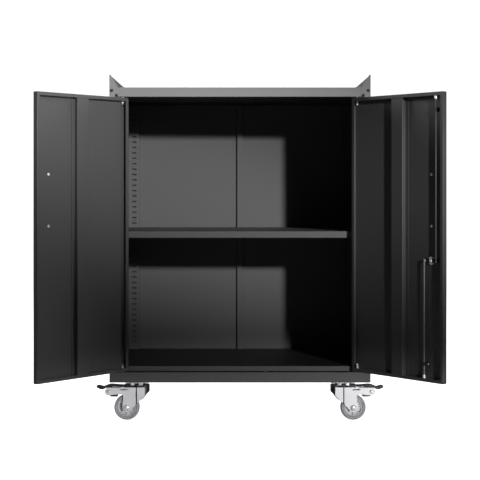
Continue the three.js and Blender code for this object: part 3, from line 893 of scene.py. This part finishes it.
lock["upperRod"] = lock["along"] + lock["camRadius"]


# where a point of the shut door is, seen from above
def closedDoor(sign, along, inward):
    pin = joints["door_right_hinge" if sign > 0 else "door_left_hinge"]["pos_m"]
    return pin[0] - sign * along, pin[1] + inward


def doorPlace(label, sign):
    joint = joints[f"door_{label}_hinge"]
    swing = Matrix.Rotation(-sign * math.radians(joint["range_deg"][0]), 4, "Z")
    return Matrix.Translation((joint["pos_m"][0], joint["pos_m"][1], 0)) @ swing


def makeDoor(label, sign):
    place = doorPlace(label, sign)
    body = f"door_{label}"
    sheet = cabinet["sheet"]
    low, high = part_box(f"door_panel_{label}")
    free = abs(joints[f"door_{label}_hinge"]["pos_m"][0]) - door["meetingGap"] / 2
    skin = door["faceOut"] + sheet

    def x(along):
        return -sign * along

    ends = sorted((x(-door["edgeToPivot"]), x(free)))
    holes = [drills([(0, 0, cabinet["pinHole"])], "Z", low.z - sheet, high.z + sheet)]
    if sign > 0:
        reach = 3 * sheet
        for rod, z in (("lowerRod", low.z), ("upperRod", high.z)):
            spot = (x(lock[rod]), lock["rodDepth"], cabinet["rodHole"])
            holes.append(drills([spot], "Z", z - reach, z + reach))
        holes.append(drills([(x(lock["along"]), lockZ, lock["hole"])], "Y", skin - reach, skin + sheet))
    panel = foldedPan(
        f"doorPanel{label.title()}", (ends[0], door["faceOut"], low.z),
        (ends[1], door["faceIn"], high.z), "Y", 1, door["lip"], holes,
    )
    settle(panel, body, blackCoat, [f"door_panel_{label}"], place)

    near = door["stiffenerNear"]
    far = near + door["stiffenerWidth"]
    lowFace = skin + sheet + cabinet["gap"]
    highFace = door["faceIn"] - sheet - cabinet["gap"]
    line = [
        (near - door["stiffenerFlange"], lowFace), (near, lowFace), (near, highFace),
        (far, highFace), (far, lowFace), (far + door["stiffenerFlange"], lowFace),
    ]
    line = [(x(along), y) for along, y in line]
    line = line if sign < 0 else line[::-1]
    stiffLow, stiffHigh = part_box(f"door_stiffener_{label}")
    stiffener = bentSheet(
        f"doorStiffener{label.title()}", line, "Z", stiffLow.z, stiffHigh.z, sheet, cabinet["bend"]
    )
    settle(stiffener, body, blackCoat, [f"door_stiffener_{label}"], place)

    welds = []
    for along in (near - door["weldInset"], far + door["weldInset"]):
        for k in range(weldCount):
            z = stiffLow.z + (stiffHigh.z - stiffLow.z) * (k + 0.5) / weldCount
            welds.append(((x(along), lowFace, z), (0, 1, 0)))
    fasten(f"weldMarks{label.title()}", "weld", welds, body, blackCoat, place)

    makeHandle(label, sign, place, body)
    middle = sum(corner.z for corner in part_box(f"door_handle_{label}")) / 2
    half = door["handleSpacing"] / 2
    screws = [((x(door["handleAlong"]), skin, middle + end * half), (0, 1, 0)) for end in (-1, 1)]
    fasten(f"handleScrews{label.title()}", "screw", screws, body, zinc, place)

    for level, end in (("upper", 1), ("lower", -1)):
        makePin(label, level, end, place, body)


def makeHandle(label, sign, place, body):
    low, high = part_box(f"door_handle_{label}")
    foot = door["faceOut"] - cabinet["gap"]
    out = foot - door["handleReach"]
    bar, footWide = door["handleBar"], door["handleFoot"]
    outer = [(foot, low.z), (out, low.z), (out, high.z), (foot, high.z)]
    inner = [
        (foot, high.z - footWide), (out + bar, high.z - footWide),
        (out + bar, low.z + footWide), (foot, low.z + footWide),
    ]
    outline = rounded(outer, door["handleOuterBend"], 6) + rounded(inner, door["handleInnerBend"], 5)
    x = -sign * door["handleAlong"]
    half = door["handleWidth"] / 2
    handle = prism(f"doorHandle{label.title()}", outline, "X", x - half, x + half)
    bevel(handle, door["handleEase"], 3, 50)
    settle(handle, body, blackCoat, [f"door_handle_{label}"], place, crisp=50)


pin = lengths({
    "radius": 2.5,
    "soft": 0.6,
    "knob": 3.2,
    "knobLength": 9,
    "inside": 22,
    "coilGap": 0.9,
    "coilWire": 0.8,
    "coilPitch": 2,
})


# spring pin that the door turns on, with the knob that draws it back and the coils of its spring
def makePin(label, level, end, place, body):
    low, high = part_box(f"hinge_pin_{level}_{label}")
    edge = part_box(f"door_panel_{label}")[1 if end > 0 else 0].z
    inside = edge - end * pin["inside"]
    tip = high.z if end > 0 else low.z
    r, soft = pin["radius"], pin["soft"]
    profile = [
        (0, inside), (r - soft, inside), (r, inside + end * soft), (r, tip - end * 2 * soft),
        (r - 2 * soft, tip), (0, tip),
    ]
    bm = bmesh.new()
    addTurned(bm, profile, (0, 0, 0), "Z", 20)
    knobZ = inside + end * pin["knob"]
    k, length = pin["knob"], pin["knobLength"]
    knob = [
        (0, 0), (k, 0), (k, 0.2 * length), (0.75 * k, 0.3 * length), (0.75 * k, 0.5 * length),
        (1.25 * k, 0.6 * length), (1.25 * k, 0.9 * length), (k, length), (0, length),
    ]
    addTurned(bm, knob, (0, 0, knobZ), "Y", 20)
    # coils of the spring behind the knob
    for turn in range(5):
        z = knobZ + end * (k * 1.3 + turn * pin["coilPitch"])
        ring = circle(r + pin["coilGap"], z, pin["coilWire"], 8)
        addTurned(bm, ring, (0, 0, 0), "Z", 20)
    obj = fromBmesh(f"hingePin{level.title()}{label.title()}", bm)

    def onKnob(at, normal):
        return at.y > 1.5 * r

    settle(
        obj, body, zinc, [f"hinge_pin_{level}_{label}"], place, second=(darkSteel, onKnob)
    )


lockZ = sum(corner.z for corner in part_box("lock_cylinder")) / 2


def makeLock():
    place = doorPlace("right", 1)
    along = lock["along"]
    near = lock["camNear"]
    far = near + lock["camThickness"]
    skin = door["faceOut"] + cabinet["sheet"]
    face = door["faceOut"] - 3.5 * mm
    dish, rim, barrel, gap = lock["dish"], lock["rim"], lock["body"], cabinet["gap"]
    collar = door["faceOut"] - gap
    profile = [
        (0, face + 0.8 * mm), (dish - 0.4 * mm, face + 0.8 * mm), (dish, face), (rim - mm, face),
        (rim, face + mm), (rim, collar), (barrel, collar), (barrel, skin + gap), (rim, skin + gap),
        (rim, near - gap), (0, near - gap),
    ]
    cylinder = turned("lockCylinder", profile, (-along, 0, lockZ), "Y")
    slotHalf, slotTall = 0.8 * mm, 3.6 * mm
    keyway = [
        (-along - slotHalf, lockZ - slotTall), (-along + slotHalf, lockZ - slotTall),
        (-along + slotHalf, lockZ + slotTall), (-along - slotHalf, lockZ + slotTall),
    ]
    cutOut(cylinder, prism("keyway", keyway, "Y", face - mm, face + 2.6 * mm))
    settle(cylinder, "door_right", zinc, ["lock_cylinder"], place)

    reach, half = lock["camRadius"], 6 * mm
    outline = circle(-along - reach, lockZ, half, 16, math.pi / 2, math.pi)
    outline += circle(-along + reach, lockZ, half, 16, -math.pi / 2, math.pi)
    cam = prism("lockCam", outline, "Y", near, far)
    bevel(cam, 0.35 * mm, 2)
    settle(cam, "lock_cam", darkZinc, ["lock_cam"], place)
    spots = [((-along, far, lockZ), (0, 1, 0))]
    fasten("camScrew", "screw", spots, "lock_cam", zinc, place, size=1.25)
    spots = [((-along + side * reach, far, lockZ), (0, 1, 0)) for side in (-1, 1)]
    fasten("camRivets", "rivet", spots, "lock_cam", zinc, place, size=0.9)

    # the rods' shafts take paint in place of zinc: black on the upper rod as a painted shadow, grey on the
    # lower as painted shade
    for name, node, distance, end, shaft in (
        ("lockRodUpper", "lock_rod_upper", lock["upperRod"], 1, blackPaint),
        ("lockRodLower", "lock_rod_lower", lock["lowerRod"], -1, greyPaint),
    ):
        low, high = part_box(node)
        start, tip = (low.z, high.z) if end > 0 else (high.z, low.z)
        r, wide = lock["rodRadius"], lock["tipRadius"]
        neck = tip - end * lock["tipLength"]
        profile = [
            (0, start), (r - 0.5 * mm, start), (r, start + end * 0.5 * mm),
            (r, neck - end * 2 * mm), (wide, neck), (wide, tip - end * 1.5 * mm),
            (wide - mm, tip), (0, tip),
        ]
        rod = turned(name, profile, (-distance, lock["rodDepth"], 0), "Z", 24)
        tipStart = neck - end * mm

        def onShadedShaft(at, normal):
            return end * at.z < end * tipStart

        settle(rod, node, zinc, [node], place, second=(shaft, onShadedShaft))
        makeRodGuide(f"{name}Guide", -distance, neck - end * lock["saddleBack"], place)


# a small saddle screwed to the door skin, which keeps a lock rod straight
def makeRodGuide(name, x, z, place):
    sheet, half = lock["saddleSheet"], lock["saddleHalf"]
    foot = door["faceOut"] + cabinet["sheet"] + 0.2 * mm + sheet
    outside = lock["rodRadius"] + 0.4 * mm + sheet
    far = outside + lock["saddleFoot"]
    crown = lock["rodDepth"] + outside
    line = [
        (x - far, foot), (x - outside, foot), (x - outside, crown),
        (x + outside, crown), (x + outside, foot), (x + far, foot),
    ]
    saddle = bentSheet(name, line, "Z", z - half, z + half, sheet, sheet)
    settle(saddle, "door_right", darkZinc, place=place)
    spots = [((x + side * (outside + half), foot, z), (0, 1, 0)) for side in (-1, 1)]
    fasten(f"{name}Rivets", "rivet", spots, "door_right", zinc, place, size=0.7)


# casters, drawn about the swivel axis with the wheel trailing towards +X

caster = lengths({
    "tyreWidth": 24,
    "tyreThickness": 10.5,
    "hubWidth": 20,
    "hubBore": 5.6,
    "hubBoss": 12,
    "hubProud": 3,  # the boss past the tyre's side
    "hubWeb": 3,
    "forkSheet": 2.5,
    "sideGap": 4,
    "nose": 36.3,
    "noseDepth": 13.5,
    "noseDrop": 12.5,
    "boss": 12.6,
    "tail": 33,
    "armDrop": 21,
    "shoeDrop": 28,
    "race": 24,
    "raceHeight": 10,
    "step": 4,  # pressed line in the leg, ahead of the swivel axis
    "brakeHub": 11.4,
    "pedalWidth": 30,
    "pedalReach": 36,
    "plateLength": 66,
    "plateWidth": 84,
    "plateSheet": 2.6,
    "plateCorner": 8,
    "plateBoss": 20,
    "kingpin": 8,
    "cap": 9,
    "capHeight": 4,
    "axle": 5,
    "slotHalf": 1.9,
    "brakeTail": 38.6,
})


ribCount = 8  # across the hub's web
gripCount = 5  # across the pedal's toe


def casterPlace(label, sign):
    x, y, _ = joints[f"swivel_{label}"]["pos_m"]
    turn = Matrix.Rotation(0 if sign > 0 else math.pi, 4, "Z")
    return Matrix.Translation((x, y, 0)) @ turn


def legOutline(trail, radius, top, brakePivot):
    axle = Vector((trail, radius))
    corner = Vector((-caster["nose"], top - caster["noseDrop"]))
    toCorner = corner - axle
    touch = math.atan2(toCorner.y, toCorner.x) + math.acos(caster["boss"] / toCorner.length)
    outline = [(-caster["nose"], top), tuple(corner)]
    outline += circle(axle.x, axle.y, caster["boss"], 20, touch, 2 * math.pi - touch)
    edge = trail + caster["boss"] - 2 * mm
    armLow = top - caster["armDrop"]
    if brakePivot:
        px, pz = brakePivot
        outline += rounded(
            [(edge, armLow - 14 * mm), (edge, armLow), (edge + 12 * mm, armLow)], 9 * mm, 6
        )
        outline += circle(px, pz, caster["brakeHub"], 16, -math.pi / 2, math.pi)
    else:
        tail = caster["tail"]
        outline += [(edge, top - caster["noseDrop"]), (tail, top)]
    return outline


# keeps the part of an outline on one side of an upright line
def trimmed(outline, x, keepAbove):
    inside = (lambda p: p[0] >= x) if keepAbove else (lambda p: p[0] <= x)
    done = []
    for i, p in enumerate(outline):
        q = outline[(i + 1) % len(outline)]
        if inside(p):
            done.append(p)
        if inside(p) != inside(q):
            t = (x - p[0]) / (q[0] - p[0])
            done.append((x, p[1] + t * (q[1] - p[1])))
    return done


# half an oval, seen from above: as deep as the nose, and as wide as asked
def roundEnd(x, halfWide, start, sweep):
    wall = caster["tyreWidth"] / 2 + caster["sideGap"] + caster["forkSheet"] - halfWide
    squash = (caster["noseDepth"] - wall) / halfWide
    return [(x + (a - x) * squash, b) for a, b in circle(x, 0, halfWide, 24, start, sweep)]


def makeFork(label, place, trail, radius, top, brakePivot):
    body = f"swivel_{label}"
    name = titled(label)
    inside = caster["tyreWidth"] / 2 + caster["sideGap"]
    outside = inside + caster["forkSheet"]
    outline = legOutline(trail, radius, top, brakePivot)
    endWall = caster["noseDepth"] - caster["nose"]  # where the round end of the fork starts
    line = caster["step"]
    sunk, groove = 0.7 * mm, 3.4 * mm
    bands = (
        (trimmed(trimmed(outline, endWall, True), line - groove, False), 0.0),
        (trimmed(trimmed(outline, line - groove, True), line, False), 1.9 * mm),
        (trimmed(outline, line, True), 0.0),
    )
    bm = bmesh.new()
    for band, sink in bands:
        for side in (-1, 1):
            a, b = sorted((side * (inside - sunk), side * (outside - sink)))
            addPrism(bm, band, "Y", a, b)
    legs = fromBmesh(f"forkLegs{name}", bm)
    bevel(legs, 0.5 * mm, 2, 40)
    applyModifiers(legs)
    reach = outside + 2 * mm
    half = caster["slotHalf"]
    capsule = circle(trail - mm, top - 7.0 * mm, half, 8, math.pi / 2, math.pi)
    capsule += circle(trail + 18 * mm, top - 6.4 * mm, half, 8, -math.pi / 2, math.pi)
    cutOut(legs, prism("slot", capsule, "Y", -reach, reach))

    # the groove's floor takes dark steel, a painted shade in the pressed line
    def inShadedGroove(at, normal):
        return line - groove < at.x < line and abs(normal.y) > 0.5

    settle(
        legs, body, pressed, [f"caster_fork_{label}"], place,
        second=(darkSteel, inShadedGroove),
    )

    # crown, ball race and round closed end, in dark steel as painted shade on the fork
    crown = bmesh.new()
    plan = roundEnd(endWall, outside, math.pi / 2, math.pi)
    tail = caster["brakeTail" if brakePivot else "tail"]
    addPrism(crown, plan + [(tail, -outside), (tail, outside)], "Z", top + 0.1 * mm, top + 6.6 * mm)
    r, high = caster["race"], top + caster["raceHeight"]
    race = [(0, top)] + offsets(r, top, (0, 0), (0, 2.4), (-1.2, 3.4))
    race += offsets(r, high, (-1.2, -3), (0, -2), (0, -0.6), (-0.6, 0)) + [(0, high)]
    addTurned(crown, race, (0, 0, 0), "Z", 48)
    crownPiece = fromBmesh(f"forkCrown{name}", crown)
    bevel(crownPiece, 0.5 * mm, 2, 40)
    settle(crownPiece, body, pressedInPaintedShade, place=place)

    wallPlan = roundEnd(endWall, outside, math.pi / 2, math.pi)
    wallPlan += roundEnd(endWall, inside, 1.5 * math.pi, -math.pi)
    end = prism(f"forkEnd{name}", wallPlan, "Z", radius, top)
    below = [
        (-caster["nose"], top - caster["noseDrop"]),
        (-caster["nose"] - 20 * mm, top - caster["noseDrop"]),
        (-caster["nose"] - 20 * mm, 0), (trail, 0), (trail, radius - caster["boss"]),
    ]
    cutOut(end, prism("below", below, "Y", -reach, reach))
    settle(end, body, pressedInPaintedShade, place=place)


def makeWheel(label, place, trail, radius):
    body = f"wheel_{label}"
    name = titled(label)
    half = caster["tyreWidth"] / 2
    inner = radius - caster["tyreThickness"]
    # out from the rim, past two rings moulded in the side, then over the rounded tread
    side = offsets(
        inner, half, (0, -2), (1.2, -0.4), (2.2, -0.2), (2.8, -0.9), (3.4, -0.2), (5.4, 0),
        (6, -0.7), (6.6, -0.1),
    )
    side += offsets(radius, half, (-2.4, -1.2), (-0.9, -3.4), (-0.2, -7), (0, -12))
    profile = side + [(r, -h) for r, h in reversed(side[:-1])]
    tyre = turned(f"tyre{name}", profile, (trail, 0, radius), "Y", 72)
    settle(tyre, body, rubber, [f"caster_tyre_{label}"], place, crisp=50)

    rim = inner - cabinet["gap"]
    boss, web = caster["hubBoss"], caster["hubWeb"]
    bossHalf, hubHalf = half + caster["hubProud"], caster["hubWidth"] / 2
    side = [(caster["hubBore"], bossHalf)] + offsets(boss, bossHalf, (-0.8, 0), (0, -0.8))
    side += offsets(boss, web, (0.8, 1), (1.8, 0)) + offsets(rim, web, (-4.4, 0), (-3.4, 1))
    side += offsets(rim, hubHalf, (-3, -0.6), (-2.4, 0), (0, 0))
    profile = side + [(r, -h) for r, h in reversed(side)]
    bm = bmesh.new()
    addTurned(bm, profile, (trail, 0, radius), "Y", 56)
    for k in range(ribCount):
        turn = 2 * math.pi * k / ribCount
        along = Vector((math.cos(turn), math.sin(turn)))
        across = Vector((-along.y, along.x)) * 1.1 * mm
        a, b = along * (boss - 0.5 * mm), along * (rim - 2.6 * mm)
        corners = [a - across, b - across, b + across, a + across]
        rib = [(trail + c.x, radius + c.y) for c in corners]
        addPrism(bm, rib, "Y", mm - hubHalf, hubHalf - mm)
    hub = fromBmesh(f"hub{name}", bm)
    settle(hub, body, nylon, [f"caster_hub_{label}"], place, crisp=40)


def makeAxle(label, place, trail, radius):
    name = titled(label)
    inside = caster["tyreWidth"] / 2 + caster["sideGap"] + caster["forkSheet"] + cabinet["gap"]
    cap, high, shaft = caster["cap"], caster["capHeight"], caster["axle"]
    side = [(cap * c, inside + h) for c, h in ((1, 0), (1, 0.25 * high), (0.94, 0.5 * high))]
    side += [(cap * 0.72, inside + 0.82 * high), (cap * 0.4, inside + 0.98 * high), (0, inside + high)]
    profile = [(0, -inside - high)] + [(r, -h) for r, h in reversed(side[:-1])]
    profile += [(shaft, -inside), (shaft, inside)] + side
    axle = turned(f"axleBolt{name}", profile, (trail, 0, radius), "Y", 40)
    settle(axle, f"swivel_{label}", zinc, [f"caster_axle_{label}"], place, crisp=40)


def makeBrake(label, place, top, pivot):
    name = titled(label)
    body = f"brake_{label}"
    px, pz = pivot
    toe = px + caster["pedalReach"]
    # middle line and half thickness of the S-shaped tread, from over the fork to the toe
    line = [(start + a * mm, top + b * mm, t * mm) for start, a, b, t in (
        (0, 40, 3, 1.7), (px, -26, 3.6, 1.9), (px, -12, 4.9, 2.1), (px, -2, 4.4, 2.2),
        (px, 7, 1.2, 2.3), (px, 14, -2.4, 3), (px, 21, -2.8, 3.7), (px, 28, -0.6, 3.7),
        (toe, -2.4, 0.9, 2.6), (toe, -0.2, 1.2, 0.8),
    )]
    smooth = smoothLine(line, 5)
    middle = [(x, z) for x, z, _ in smooth]
    thick = [t for _, _, t in smooth]
    outline = shifted(middle, thick) + shifted(middle, [-t for t in thick])[::-1]
    half = caster["pedalWidth"] / 2
    tread = prism(f"brakePedal{name}", outline, "Y", -half, half)
    bevel(tread, 1.1 * mm, 3, 50)
    settle(tread, body, plastic, [f"caster_brake_{label}"], place, crisp=50)

    low = top - caster["shoeDrop"]
    stem = offsets(px, top, (-9, 2.4), (6, 1.5)) + offsets(px, pz, (8, 0), (3, -8))
    stem += offsets(px, low, (-6, 0), (-27, 0), (-27, 4), (-10, 6)) + offsets(px, pz, (-9, 0))
    inner = caster["tyreWidth"] / 2 + 2.6 * mm
    shoe = prism(f"brakeShoe{name}", rounded(stem, 2 * mm, 3, closed=True), "Y", -inner, inner)
    bevel(shoe, 0.5 * mm, 2)
    settle(shoe, body, plastic, place=place)

    ribs = bmesh.new()  # grip across the toe
    for k in range(gripCount):
        x = px + (18 + 3.2 * k) * mm
        z = top + (0.4 + 0.75 * k) * mm
        addPrism(ribs, circle(x, z, 0.8 * mm, 8), "Y", 3 * mm - half, half - 3 * mm)
    grip = fromBmesh(f"pedalGrip{name}", ribs)
    settle(grip, body, plastic, place=place)

    outside = caster["tyreWidth"] / 2 + caster["sideGap"] + caster["forkSheet"]
    spots = [((px, side * outside, pz), (0, side, 0)) for side in (-1, 1)]
    fasten(f"pivotRivet{name}", "rivet", spots, body, zinc, place, size=1.8)


# Catmull-Rom through points of any number of values
def smoothLine(points, steps):
    done = []
    for i in range(len(points) - 1):
        p0 = points[max(i - 1, 0)]
        p1, p2 = points[i], points[i + 1]
        p3 = points[min(i + 2, len(points) - 1)]
        for k in range(steps):
            t = k / steps
            done.append(tuple(
                0.5 * (2 * b + (c - a) * t + (2 * a - 5 * b + 4 * c - d) * t * t
                       + (3 * b - a - 3 * c + d) * t**3)
                for a, b, c, d in zip(p0, p1, p2, p3)
            ))
    return done + [tuple(points[-1])]


def makePlate(label, place, top):
    name = titled(label)
    low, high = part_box(f"caster_plate_{label}")
    a, b = caster["plateLength"] / 2, caster["plateWidth"] / 2
    under = high.z - caster["plateSheet"]
    bm = bmesh.new()
    corners = [(-a, -b), (a, -b), (a, b), (-a, b)]
    corners = rounded(corners, caster["plateCorner"], 5, closed=True)
    addPrism(bm, corners, "Z", under, high.z)
    bossLow = top + caster["raceHeight"] + 0.6 * mm
    r, head, seat = caster["plateBoss"], caster["kingpin"], under + 0.2 * mm
    profile = [(0, bossLow)] + offsets(r, bossLow, (-2, 0), (0, 1.5)) + [(r + 1.5 * mm, seat), (0, seat)]
    addTurned(bm, profile, (0, 0, 0), "Z", 48)
    kingpin = [(0, low.z)] + offsets(head, low.z, (0, 0), (0, 3), (-3, 3))
    kingpin += offsets(head, bossLow, (-3, 1)) + [(0, bossLow + mm)]
    addTurned(bm, kingpin, (0, 0, 0), "Z", 24)
    plate = fromBmesh(f"mountPlate{name}", bm)
    bevel(plate, 0.4 * mm, 2, 40)
    settle(plate, "cabinet", pressed, [f"caster_plate_{label}"], place)
    spots = [
        ((sx * (a - 21 * mm), sy * (b - 9 * mm), under), (0, 0, -1)) for sx in (-1, 1) for sy in (-1, 1)
    ]
    fasten(f"plateBolts{name}", "bolt", spots, "cabinet", zinc, place)


def makeCaster(end, side, sign):
    label = f"{end}_{side}"
    place = casterPlace(label, sign)
    swivelX = joints[f"swivel_{label}"]["pos_m"][0]
    wheelX, _, radius = joints[f"wheel_{label}"]["pos_m"]
    trail = abs(wheelX - swivelX)
    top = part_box(f"caster_fork_{label}")[1].z - caster["raceHeight"]
    brake = joints.get(f"brake_{label}")
    pivot = (abs(brake["pos_m"][0] - swivelX), brake["pos_m"][2]) if brake else None
    makePlate(label, place, top)
    makeFork(label, place, trail, radius, top, pivot)
    makeWheel(label, place, trail, radius)
    makeAxle(label, place, trail, radius)
    if pivot:
        makeBrake(label, place, top, pivot)


makeCabinet()
makeTray()
makeGuards()
makeUprights()
makeClips()
print("cabinet built")
for label, sign in sides:
    makeDoor(label, sign)
makeLock()
print("doors and lock built")
for end in ("front", "rear"):
    for side, sign in sides:
        makeCaster(end, side, sign)
for head in heads.values():
    bpy.data.objects.remove(head)
print("casters built")

# floor, light and camera

studio = {
    "floorRadius": 30.0,
    "keyLight": {
        "from": (0.0, 0.0, 0.85), "aim": (-0.88, 0.0, 1.01), "azimuth": 24.5, "elevation": 12.0,
        "distance": 8.0, "power": 4200.0, "radius": 0.2, "cone": 6.7, "blend": 1.0, "wide": 5.34,
        "tilt": -24.0,
    },
    "lowLight": {
        "from": (0.0, 0.0, 0.05), "aim": (0.02, 0.0, 0.04), "azimuth": 24.0, "elevation": 5.0,
        "distance": 4.0, "power": 385.0, "radius": 0.06, "cone": 4.6, "blend": 0.6, "wide": 9.0,
        "tilt": 0.0,
    },
    "ambient": 0.03,
    "backdrop": 1.05,
}
softLights = {
    "sideLight": {"at": (2.9, -0.78, 0.95), "aim": (-0.5, -0.25, 0.6), "size": 1.2, "power": 27.0},
    "rearLeftLight": {"at": (-3.2, 2.2, 1.9), "aim": (0, 0.1, 0.5), "size": 1.8, "power": 150.0},
    "rearRightLight": {"at": (3.2, 2.2, 1.9), "aim": (0, 0.1, 0.5), "size": 1.8, "power": 110.0},
    "topLight": {"at": (0.3, 0.9, 3.4), "aim": (0, 0.1, 0.9), "size": 1.6, "power": 60.0},
}


def makeFloor():
    bm = bmesh.new()
    addPrism(bm, circle(0, 0, studio["floorRadius"], 96), "Z", -0.02, 0.0)
    floor = fromBmesh("studioFloor", bm)
    material, graph, where = startMaterial("paleFloor")
    mottle = noise(graph, where, 1.5)
    colour = blendColours(graph, mottle, (0.42,) * 3, (0.46,) * 3)
    diffuse = graph.add("ShaderNodeBsdfDiffuse", sockets={"Color": colour})
    glow = graph.add("ShaderNodeEmission", sockets={"Color": (1, 1, 1, 1), "Strength": 1.0})
    seen = graph.add("ShaderNodeLightPath", output="Is Camera Ray")
    dark = graph.add("ShaderNodeEmission", sockets={"Strength": 0.0})
    light = graph.add("ShaderNodeMixShader", sockets={0: seen, 1: dark, 2: glow})
    both = graph.add("ShaderNodeAddShader", sockets={0: diffuse, 1: light})
    graph.add("ShaderNodeOutputMaterial", sockets={"Surface": both})
    floor.data.materials.append(material)


def makeWorld():
    world = bpy.data.worlds.new("studioWorld")
    world.use_nodes = True
    scene.world = world
    world.node_tree.nodes.clear()
    graph = Graph(world.node_tree)
    ambient = graph.add(
        "ShaderNodeBackground", sockets={"Color": (1, 1, 1, 1), "Strength": studio["ambient"]}
    )
    white = graph.add("ShaderNodeBackground", sockets={"Color": (1, 1, 1, 1), "Strength": studio["backdrop"]})
    seen = graph.add("ShaderNodeLightPath", output="Is Camera Ray")
    both = graph.add("ShaderNodeMixShader", sockets={0: seen, 1: ambient, 2: white})
    graph.add("ShaderNodeOutputWorld", sockets={"Surface": both})


def aim(obj, target, tilt=0.0):
    turn = (Vector(target) - obj.location).to_track_quat("-Z", "Y").to_matrix()
    obj.rotation_euler = (turn @ Matrix.Rotation(math.radians(tilt), 3, "Z")).to_euler()


def makeLights():
    for name in ("keyLight", "lowLight"):
        settings = studio[name]
        a, e = math.radians(settings["azimuth"]), math.radians(settings["elevation"])
        away = Vector((math.sin(a) * math.cos(e), -math.cos(a) * math.cos(e), math.sin(e)))
        data = bpy.data.lights.new(name, "SPOT")
        data.energy = settings["power"]
        data.shadow_soft_size = settings["radius"]
        data.spot_size = math.radians(settings["cone"])
        data.spot_blend = settings["blend"]
        light = bpy.data.objects.new(name, data)
        light.scale = (settings["wide"], 1, 1)  # an oval beam
        light.location = Vector(settings["from"]) + away * settings["distance"]
        aim(light, settings["aim"], settings["tilt"])
        scene.collection.objects.link(light)

    for name, settings in softLights.items():
        data = bpy.data.lights.new(name, "AREA")
        data.energy = settings["power"]
        data.size = settings["size"]
        soft = bpy.data.objects.new(name, data)
        soft.location = settings["at"]
        aim(soft, settings["aim"])
        scene.collection.objects.link(soft)

    side = bpy.data.objects["sideLight"]
    lit = bpy.data.collections.new("sideLit")  # the side light fills the left door alone
    for name in ("doorPanelLeft", "doorStiffenerLeft"):
        lit.objects.link(bpy.data.objects[name])
    side.light_linking.receiver_collection = lit


lens = {"distance": 4.0096, "height": 0.680, "focal": 100.64, "sensor": 36.0, "shiftY": -0.1054}


def makeCamera():
    data = bpy.data.cameras.new("camera")
    data.lens = lens["focal"]
    data.sensor_width = lens["sensor"]
    data.shift_y = lens["shiftY"]
    camera = bpy.data.objects.new("camera", data)
    camera.location = (0, -lens["distance"], lens["height"])
    camera.rotation_euler = (math.pi / 2, 0, 0)
    scene.collection.objects.link(camera)
    scene.camera = camera


makeFloor()
makeWorld()
makeLights()
makeCamera()
scene.view_settings.view_transform = "Standard"
print("studio ready")
